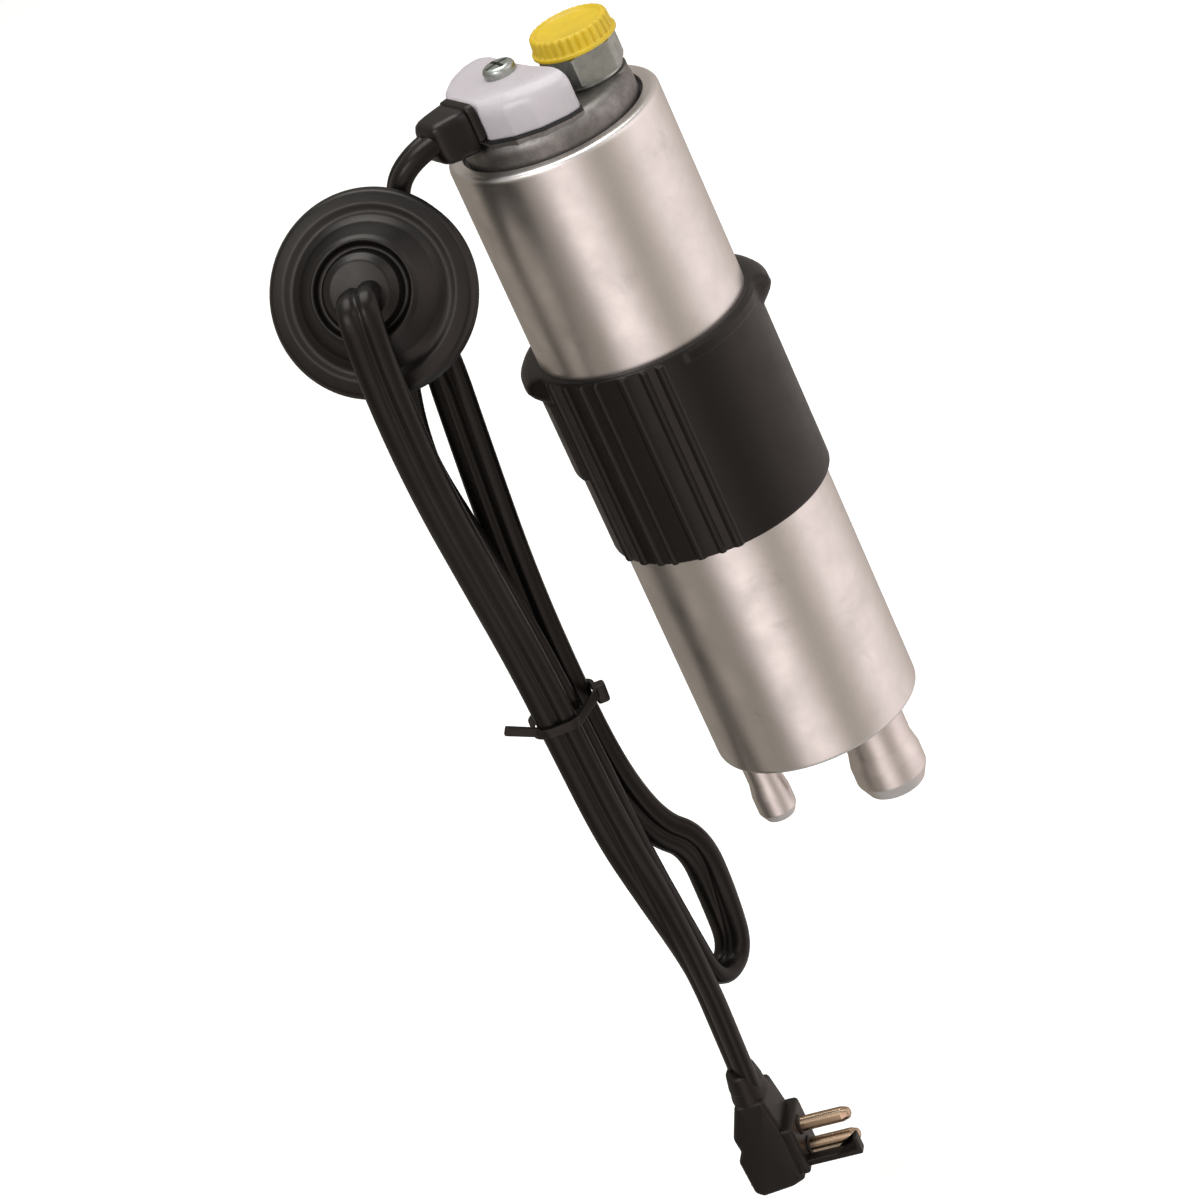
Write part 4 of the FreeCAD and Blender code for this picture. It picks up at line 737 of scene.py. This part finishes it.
def make_plug():
    """Right angled plug: cable sleeve, finger recess, lower block, pin collar and key."""
    top, low, face, half = PLUG_TOP, PLUG_LOW, PLUG_FACE, PLUG_HALF
    body = side_block([(-3.6, top), (4.2, top), (face - 2.6, top - 10.0), (face - 2.6, low + 2.4),
                       (1.8, low + 0.9), (-6.5, low), (-8.4, low + 1.6), (-8.8, low + 11.7),
                       (-7.1, low + 14.6), (-7.5, low + 18.9)],
                      [1.2, 1.4, 2.0, 1.2, 3.0, 1.4, 1.4, 1.5, 1.6, 3.0], half, 1.3)
    collar = side_block([(face - 3.4, low + 4.4), (face, low + 4.4), (face, top - 9.6),
                         (face - 3.4, top - 9.6)], [0.3, 1.3, 1.3, 0.3], half + 0.8, 0.9, 96)
    key = side_block([(face - 1.2, low + 6.0), (22.45, low + 6.0), (22.45, low + 11.2), (21.45, low + 11.2),
                      (21.35, low + 7.8), (face - 1.2, low + 7.8)], 0.3, 1.6, 0.3, 96, y=-4.6)
    cone = lathe(rounded([(0, top - 0.8), (4.9, top - 0.8), (4.9, top - 0.2), (4.4, top + 2.6),
                          (4.5, top + 3.0), (3.8, top + 6.8), (3.2, top + 7.1), (0, top + 7.1)], 0.4, 5),
                 72) * (1, 1.3, 1)
    rim = lathe(rounded([(0, 0.0), (2.6, 0.0), (2.6, 0.55), (2.15, 0.8), (0, 0.8)], 0.2, 4), 40)
    sockets = [rim[..., [2, 0, 1]] + np.array([face - 0.2, 0, z]) for _, z in PINS]
    ribs = [side_block([(-8.9, low + z), (-7.0, low + z - 0.1), (-7.0, low + z + 1.3),
                        (-8.9, low + z + 1.2)], 0.4, half - 1.5, 0.4, 40) for z in (3.0, 6.0, 9.0)]
    grids = [(grid, False) for grid in (body, collar, key, cone, *sockets, *ribs)]
    return piece("plug", grids, stands_for=("plug_body",), sharp=40, axes=turn_z(PLUG_TURN),
                 place=PLUG_PLACE)


def make_pins(sizes):
    r = sizes.pin_radius / MM
    made = []
    for name, z in PINS:
        profile = rounded([(0, 6.0), (1.3, 6.0), (1.3, 8.2), (r, 8.2), (r, 19.6), (1.4, 21.4), (0.6, 21.85),
                           (0, 21.85)], [0, 0.1, 0, 0.1, 1.2, 0.6, 0.3, 0], 6)
        grid = lathe(profile, 56)[..., [2, 0, 1]] + np.array([0, 0, z])
        made.append(piece("pin_" + name, [(grid, False)], stands_for=("plug_pin_" + name,), sharp=40,
                          axes=turn_z(PLUG_TURN), place=PLUG_PLACE))
    return made


# Finishes

def drawn_aluminium(tints):
    """Deep-drawn aluminium: a soft satin with faint clouds, and fine lines along the draw."""
    return finish("Drawn aluminium", tints.can, shade(tints.can, 0.86), (0.29, 0.39), 9.0, 0.35, 0.006, 1.0,
                  (1, 1, 0.04), patch=(shade(tints.can, 0.7), 0.42, 11.0))


def tube_aluminium(tints):
    """Drawn and beaded tube: brighter than the can, with fine rings left by the tool."""
    return finish("Turned aluminium tube", tints.spigot, shade(tints.spigot, 0.9), (0.34, 0.44), 5.0, 0.3,
                  0.005, 1.0, (0.05, 0.05, 1))


def cast_metal(tints):
    """Die-cast aluminium: dull grey with a sandy skin and darker patches."""
    return finish("Die-cast aluminium", tints.casting, shade(tints.casting, 0.6), (0.42, 0.58), 3.0, 0.35,
                  0.03, 1.0)


def plated_steel(tints):
    """Zinc plated steel: a grey satin, cloudy from handling."""
    return finish("Zinc plated steel", tints.plating, shade(tints.plating, 0.62), (0.28, 0.42), 2.2, 0.2,
                  0.006, 1.0)


def moulded_rubber(tints):
    """Moulded EPDM rubber: almost black, with a soft sheen and faint dusty clouds."""
    return finish("Moulded rubber", tints.rubber, shade(tints.rubber, 0.7), (0.32, 0.42), 7.0, 0.25, 0.008,
                  settings={"Specular IOR Level": 0.34, "Specular Tint": (1.0, 0.93, 0.87, 1.0)})


def cable_jacket(tints):
    """Extruded PVC jacket: smooth black with a long narrow gloss and slight drag lines along it."""
    return finish("Extruded PVC", tints.cable, shade(tints.cable, 0.7), (0.26, 0.36), 12.0, 0.6, 0.01,
                  settings={"Specular IOR Level": 0.24, "Specular Tint": (1.0, 0.91, 0.83, 1.0)})


def plug_plastic(tints):
    """Moulded PVC plug: black, a little softer than the jacket, with a fine spark-eroded grain."""
    return finish("Moulded PVC", tints.plug, shade(tints.plug, 0.7), (0.34, 0.46), 4.0, 0.3, 0.012,
                  settings={"Specular IOR Level": 0.32, "Specular Tint": (1.0, 0.91, 0.83, 1.0)})


def yellow_polythene(tints):
    """Injection moulded polythene: warm yellow, waxy, deeper in tone where it is thick."""
    return finish("Yellow polythene", tints.cap, shade(tints.cap, 0.86), (0.34, 0.44), 5.0, 0.4, 0.008,
                  settings={"Subsurface Weight": 0.15, "Subsurface Radius": (0.002, 0.001, 0.0004)})


def white_nylon(tints):
    """Moulded nylon: milky white with a cool shadow side and a broad gloss."""
    return finish("White nylon", tints.cover, shade(tints.cover, 0.93), (0.26, 0.36), 6.0, 0.5, 0.006,
                  settings={"Subsurface Weight": 0.2, "Subsurface Radius": (0.0015, 0.0015, 0.0018)})


def pin_brass(tints):
    """Turned brass: warm bright metal with brown tarnish in streaks."""
    return finish("Turned brass", tints.brass, shade(tints.brass, 0.7), (0.18, 0.30), 2.0, 0.12, 0.002, 1.0,
                  patch=(linear("#7A5238"), 0.4, 3.0))


# Inner nodes: their finish as name, colour, darker colour, roughness, cloud, grain and relief in
# millimetres, metal and stretch
INNER = (
    # pressed and sintered iron: matt grey with open pores
    (("Sintered iron", "#6E6C69", "#4E4C4A", (0.45, 0.6), 2.0, 0.25, 0.02, 1.0, (1, 1, 1)),
     ("outer_rotor", "inner_rotor", "pump_ring")),
    # ground tool steel: bright with fine circular marks
    (("Ground steel", "#B9B9B8", "#8F8F8F", (0.18, 0.28), 4.0, 0.12, 0.002, 1.0, (1, 1, 4)),
     ("armature_shaft", "drive_pin", "relief_valve_ball")),
    # zinc plated turned steel: grey satin
    (("Bright zinc steel", "#A8A8A3", "#7E7E79", (0.28, 0.4), 2.5, 0.2, 0.005, 1.0, (1, 1, 1)),
     ("pump_screws", "relief_valve_plug", "magnet_clip_back", "magnet_clip_front", "flux_ring",
      "check_valve_retainer", "terminal_nuts", "terminal_post_positive", "terminal_post_negative")),
    # die-cast plates: dull grey with a sandy skin
    (("Pressure die-casting", "#8B8A87", "#666562", (0.42, 0.58), 3.0, 0.35, 0.03, 1.0, (1, 1, 1)),
     ("pump_inlet_plate", "pump_outlet_plate")),
    # stacked sheets: fine level lines, half a millimetre apart
    (("Lamination steel", "#77736E", "#4A4744", (0.35, 0.5), 3.0, 0.5, 0.03, 1.0, (0.02, 0.02, 1)),
     ("armature_core",)),
    # music wire: bright, drawn
    (("Spring steel wire", "#9C9A96", "#6B6966", (0.22, 0.34), 1.5, 0.15, 0.003, 1.0, (1, 1, 1)),
     ("relief_valve_spring", "check_valve_spring", "brush_spring_positive", "brush_spring_negative")),
    # oil-filled bronze: brown metal, matt
    (("Sintered bronze", "#A8794A", "#74502F", (0.4, 0.55), 1.5, 0.2, 0.015, 1.0, (1, 1, 1)),
     ("lower_bearing", "upper_bearing")),
    # varnished copper wire: warm and glossy, with marks drawn out along the core
    (("Varnished copper", "#B8673A", "#7C3F21", (0.22, 0.35), 2.0, 0.6, 0.12, 1.0, (1, 1, 0.2)),
     ("armature_windings",)),
    # bare copper: lighter, with darker clouds where it is worn
    (("Hard copper", "#C98A62", "#8E5838", (0.25, 0.4), 2.0, 0.25, 0.01, 1.0, (1, 1, 0.1)),
     ("commutator", "core_wire_positive", "core_wire_negative", "brush_lead_positive",
      "brush_lead_negative")),
    # tinned brass lugs: pale yellow metal
    (("Tinned brass", "#C9BC93", "#998A5E", (0.25, 0.38), 2.0, 0.25, 0.005, 1.0, (1, 1, 1)),
     ("cable_lug_positive", "cable_lug_negative")),
    # pressed ferrite: dark grey ceramic, matt with small chips
    (("Hard ferrite", "#3A3A3D", "#27272A", (0.55, 0.7), 2.0, 0.3, 0.03, 0.0, (1, 1, 1)),
     ("magnet_left", "magnet_right")),
    # carbon brush: black with a silky trace
    (("Brush carbon", "#2B2A2A", "#181717", (0.4, 0.55), 1.2, 0.2, 0.01, 0.0, (1, 1, 0.3)),
     ("brush_positive", "brush_negative")),
    # natural nylon: cream, slightly waxy
    (("Natural nylon", "#D8D0B8", "#BDB397", (0.35, 0.48), 3.0, 0.4, 0.008, 0.0, (1, 1, 1)),
     ("terminal_insulator_positive", "terminal_insulator_negative", "inlet_strainer",
      "check_valve_poppet")),
    # glass-filled plastic: black and slightly rough
    (("Glass-filled nylon", "#26262A", "#17171A", (0.4, 0.55), 2.5, 0.3, 0.02, 0.0, (1, 1, 1)),
     ("brush_carrier",)),
    # nitrile seals: black rubber, matt
    (("Nitrile rubber", "#1A1A1A", "#101010", (0.5, 0.62), 3.0, 0.25, 0.01, 0.0, (1, 1, 1)),
     ("end_cap_seal", "cover_gasket")),
)


# Operators

class Pieces:
    """What the operators share: they build from the scene's sizes and raise if a node is missing."""
    bl_options = {"REGISTER", "UNDO"}

    def settings(self, context):
        return context.scene.pump_sizes, context.scene.pump_colours


class PUMP_OT_can(Pieces, bpy.types.Operator):
    """Make the drawn can and its two spigots"""
    bl_idname = "pump.can"
    bl_label = "Can and Spigots"

    def execute(self, context):
        sizes, tints = self.settings(context)
        paint(make_can(sizes), drawn_aluminium(tints))
        for tube in make_spigots():
            paint(tube, tube_aluminium(tints))
        return {"FINISHED"}


class PUMP_OT_sleeve(Pieces, bpy.types.Operator):
    """Make the ribbed rubber sleeve"""
    bl_idname = "pump.sleeve"
    bl_label = "Rubber Sleeve"

    def execute(self, context):
        sizes, tints = self.settings(context)
        paint(make_sleeve(sizes), moulded_rubber(tints))
        return {"FINISHED"}


class PUMP_OT_outlet(Pieces, bpy.types.Operator):
    """Make the outlet fitting, its washer and the transport cap, and finish the end cap"""
    bl_idname = "pump.outlet"
    bl_label = "Outlet"

    def execute(self, context):
        sizes, tints = self.settings(context)
        paint(NODES["end_cap"], cast_metal(tints))
        paint(make_fitting(sizes), plated_steel(tints))
        paint(make_washer(), plated_steel(tints))
        paint(make_transport_cap(sizes), yellow_polythene(tints))
        return {"FINISHED"}


class PUMP_OT_cover(Pieces, bpy.types.Operator):
    """Make the terminal cover and the cable boot, and finish the cover's screw"""
    bl_idname = "pump.cover"
    bl_label = "Cover and Boot"

    def execute(self, context):
        sizes, tints = self.settings(context)
        paint(make_cover(), white_nylon(tints))
        paint(make_boot(), moulded_rubber(tints))
        paint(NODES["cover_screw"], plated_steel(tints))
        return {"FINISHED"}


class PUMP_OT_cable(Pieces, bpy.types.Operator):
    """Make the flat twin cable with its grommet, tie and plug"""
    bl_idname = "pump.cable"
    bl_label = "Cable"

    def execute(self, context):
        sizes, tints = self.settings(context)
        grommet, tie, plug = make_grommet(sizes), make_tie(), make_plug()
        pins = make_pins(sizes)
        paint(grommet, moulded_rubber(tints))
        for part in (tie, plug):
            paint(part, plug_plastic(tints))
        for pin in pins:
            paint(pin, pin_brass(tints))
        paint(make_cable(sizes), cable_jacket(tints))
        return {"FINISHED"}


class PUMP_OT_inner(Pieces, bpy.types.Operator):
    """Give every inner part of the pump its finish"""
    bl_idname = "pump.inner"
    bl_label = "Inner Parts"

    def execute(self, context):
        for recipe, nodes in INNER:
            name, tint, dark, *rest, metal, stretch = recipe
            material = finish(name, linear(tint), linear(dark), *rest, metal, stretch)
            for node in nodes:
                paint(NODES[node], material)
        return {"FINISHED"}


class PUMP_OT_stage(Pieces, bpy.types.Operator):
    """Lay the floor, set the lights and place the camera"""
    bl_idname = "pump.stage"
    bl_label = "Stage"

    def execute(self, context):
        make_stage()
        make_camera()
        return {"FINISHED"}


def panel_light(name, place, aim, size, watts, tint="#FFFFFF"):
    """Soft rectangular light at a place in metres, turned towards the point it lights."""
    data = bpy.data.lights.new(name, "AREA")
    data.shape, data.size, data.size_y = "RECTANGLE", size[0], size[1]
    data.energy, data.color = watts, linear(tint)
    lamp = bpy.data.objects.new(name, data)
    lamp.location = place
    lamp.rotation_mode = "QUATERNION"
    lamp.rotation_quaternion = (Vector(aim) - Vector(place)).to_track_quat("-Z", "Y")
    bpy.context.scene.collection.objects.link(lamp)


def card(name, corners, tint, glow):
    """Flat card of one colour, part of the stage, that gives off a little light of its own."""
    mesh = bpy.data.meshes.new(name)
    mesh.from_pydata([tuple(c) for c in corners], [], [tuple(range(len(corners)))])
    made = bpy.data.objects.new(name, mesh)
    bpy.context.scene.collection.objects.link(made)
    own_light = {"Emission Color": (1.0, 1.0, 0.99, 1.0), "Emission Strength": glow}
    paint(made, finish(name, linear(tint), shade(linear(tint), 0.985), (0.8, 0.9), 300.0, 40.0, 0.01,
                       settings=own_light))
    return made


FLOOR = -0.225
# Brightness of the studio wall by its bearing in degrees, 0 behind the camera and 90 on the object's right
WALL = ((-180, 0.30), (-134, 0.30), (-114, 0.36), (-98, 0.42), (-84, 0.42), (-72, 0.36), (-58, 0.24),
        (-47, 0.22), (-39, 0.45), (-31, 1.00), (-22, 1.40), (-12, 1.32), (-3, 1.08), (6, 0.78), (15, 0.48),
        (22, 0.37), (30, 0.40), (39, 0.50), (49, 0.70), (60, 0.96), (72, 1.18), (84, 1.14), (98, 1.06),
        (114, 0.90), (134, 0.66), (180, 0.30))


def make_wall():
    """Round studio wall of soft light and dark that only gloss sees, so no camera has it in view."""
    ring = lathe([(420, -700), (420, 380)], 128)
    quads, _ = grid_faces(2, 128, False)
    mesh = bpy.data.meshes.new("Studio wall")
    mesh.from_pydata((ring.reshape(-1, 3) * MM).tolist(), [], quads.tolist())
    wall = bpy.data.objects.new("Studio wall", mesh)
    bpy.context.scene.collection.objects.link(wall)
    made = bpy.data.materials.new("Studio wall")
    made.use_nodes = True
    tree = made.node_tree
    tree.nodes.clear()
    where = put(tree, "ShaderNodeTexCoord").outputs["Object"]
    parts = put(tree, "ShaderNodeSeparateXYZ", {"Vector": where})
    front = put(tree, "ShaderNodeMath", {0: parts.outputs["Y"], 1: -1.0}, operation="MULTIPLY")
    bearing = put(tree, "ShaderNodeMath", {0: parts.outputs["X"], 1: front.outputs[0]}, operation="ARCTAN2")
    share = put(tree, "ShaderNodeMapRange", {"Value": bearing.outputs[0], "From Min": -math.pi,
                                             "From Max": math.pi})
    tone = put(tree, "ShaderNodeValToRGB", {"Fac": share.outputs["Result"]},
               ramp=[((d + 180) / 360, (v / 2, v * 0.445, v * (0.365 + 0.075 * min(v, 1)))) for d, v in WALL])
    light = put(tree, "ShaderNodeEmission", {"Color": tone.outputs["Color"], "Strength": 2.0})
    put(tree, "ShaderNodeOutputMaterial", {"Surface": light.outputs["Emission"]})
    mesh.materials.append(made)
    wall.visible_camera = wall.visible_diffuse = wall.visible_shadow = wall.visible_transmission = False


def make_stage():
    corners = [(x, y, FLOOR) for x, y in ((-6, -6), (6, -6), (6, 6), (-6, 6))]
    ground = card("Pale floor", corners, "#F8F8F6", 0.15)
    ground.visible_glossy = False
    make_wall()
    world = bpy.context.scene.world or bpy.data.worlds.new("Studio")
    bpy.context.scene.world = world
    world.use_nodes = True
    world.node_tree.nodes.clear()
    sky = put(world.node_tree, "ShaderNodeBackground", {"Color": (1.0, 1.0, 1.0, 1.0), "Strength": 0.5})
    put(world.node_tree, "ShaderNodeOutputWorld", {"Surface": sky.outputs["Background"]})
    panel_light("Key", (-1.1, -1.3, 1.5), (0, 0, 0), (0.9, 0.9), 18)
    panel_light("Fill", (1.4, -0.9, 0.8), (0, 0, 0), (0.7, 1.2), 7)
    panel_light("Top", (0.1, 0.4, 1.9), (0, 0, 0), (1.4, 1.4), 24)
    bpy.context.scene.view_settings.view_transform = "Standard"


def make_camera():
    """Camera rolled by q about its view: x = right cos q - up sin q, y = right sin q + up cos q."""
    roll = math.radians(25.15)
    right, up, back = Vector((1, 0, 0)), Vector((0, 0.4374, 0.8993)), Vector((0, -0.8993, 0.4374))
    x = right * math.cos(roll) - up * math.sin(roll)
    y = right * math.sin(roll) + up * math.cos(roll)
    data = bpy.data.cameras.new("Camera")
    data.lens, data.sensor_width, data.clip_start, data.clip_end = 135.4, 36.0, 0.01, 50.0
    camera = bpy.data.objects.new("Camera", data)
    turn = Matrix((x, y, back)).transposed().to_4x4()
    camera.matrix_world = Matrix.Translation((-0.03643, -0.97002, 0.43567)) @ turn
    bpy.context.scene.collection.objects.link(camera)
    bpy.context.scene.camera = camera


class PUMP_PT_panel(bpy.types.Panel):
    """Lists the pump's sizes, colours and operators"""
    bl_idname = "PUMP_PT_panel"
    bl_label = "Fuel Pump"
    bl_space_type = "VIEW_3D"
    bl_region_type = "UI"
    bl_category = "Fuel Pump"

    def draw(self, context):
        for kind in OPERATORS:
            self.layout.operator(kind.bl_idname)
        for group in (context.scene.pump_sizes, context.scene.pump_colours):
            box = self.layout.box()
            for name in type(group).__annotations__:
                box.prop(group, name)


OPERATORS = (PUMP_OT_can, PUMP_OT_sleeve, PUMP_OT_outlet, PUMP_OT_cover, PUMP_OT_cable, PUMP_OT_inner,
             PUMP_OT_stage)
CLASSES = (PumpSizes, PumpColours, *OPERATORS, PUMP_PT_panel)


def register():
    for kind in CLASSES:
        bpy.utils.register_class(kind)
    bpy.types.Scene.pump_sizes = bpy.props.PointerProperty(type=PumpSizes)
    bpy.types.Scene.pump_colours = bpy.props.PointerProperty(type=PumpColours)


def unregister():
    del bpy.types.Scene.pump_colours
    del bpy.types.Scene.pump_sizes
    for kind in reversed(CLASSES):
        bpy.utils.unregister_class(kind)


def main():
    register()
    bpy.ops.pump.can()
    bpy.ops.pump.sleeve()
    bpy.ops.pump.outlet()
    bpy.ops.pump.cover()
    bpy.ops.pump.cable()
    bpy.ops.pump.inner()
    bpy.ops.pump.stage()


if __name__ == "__main__":
    main()
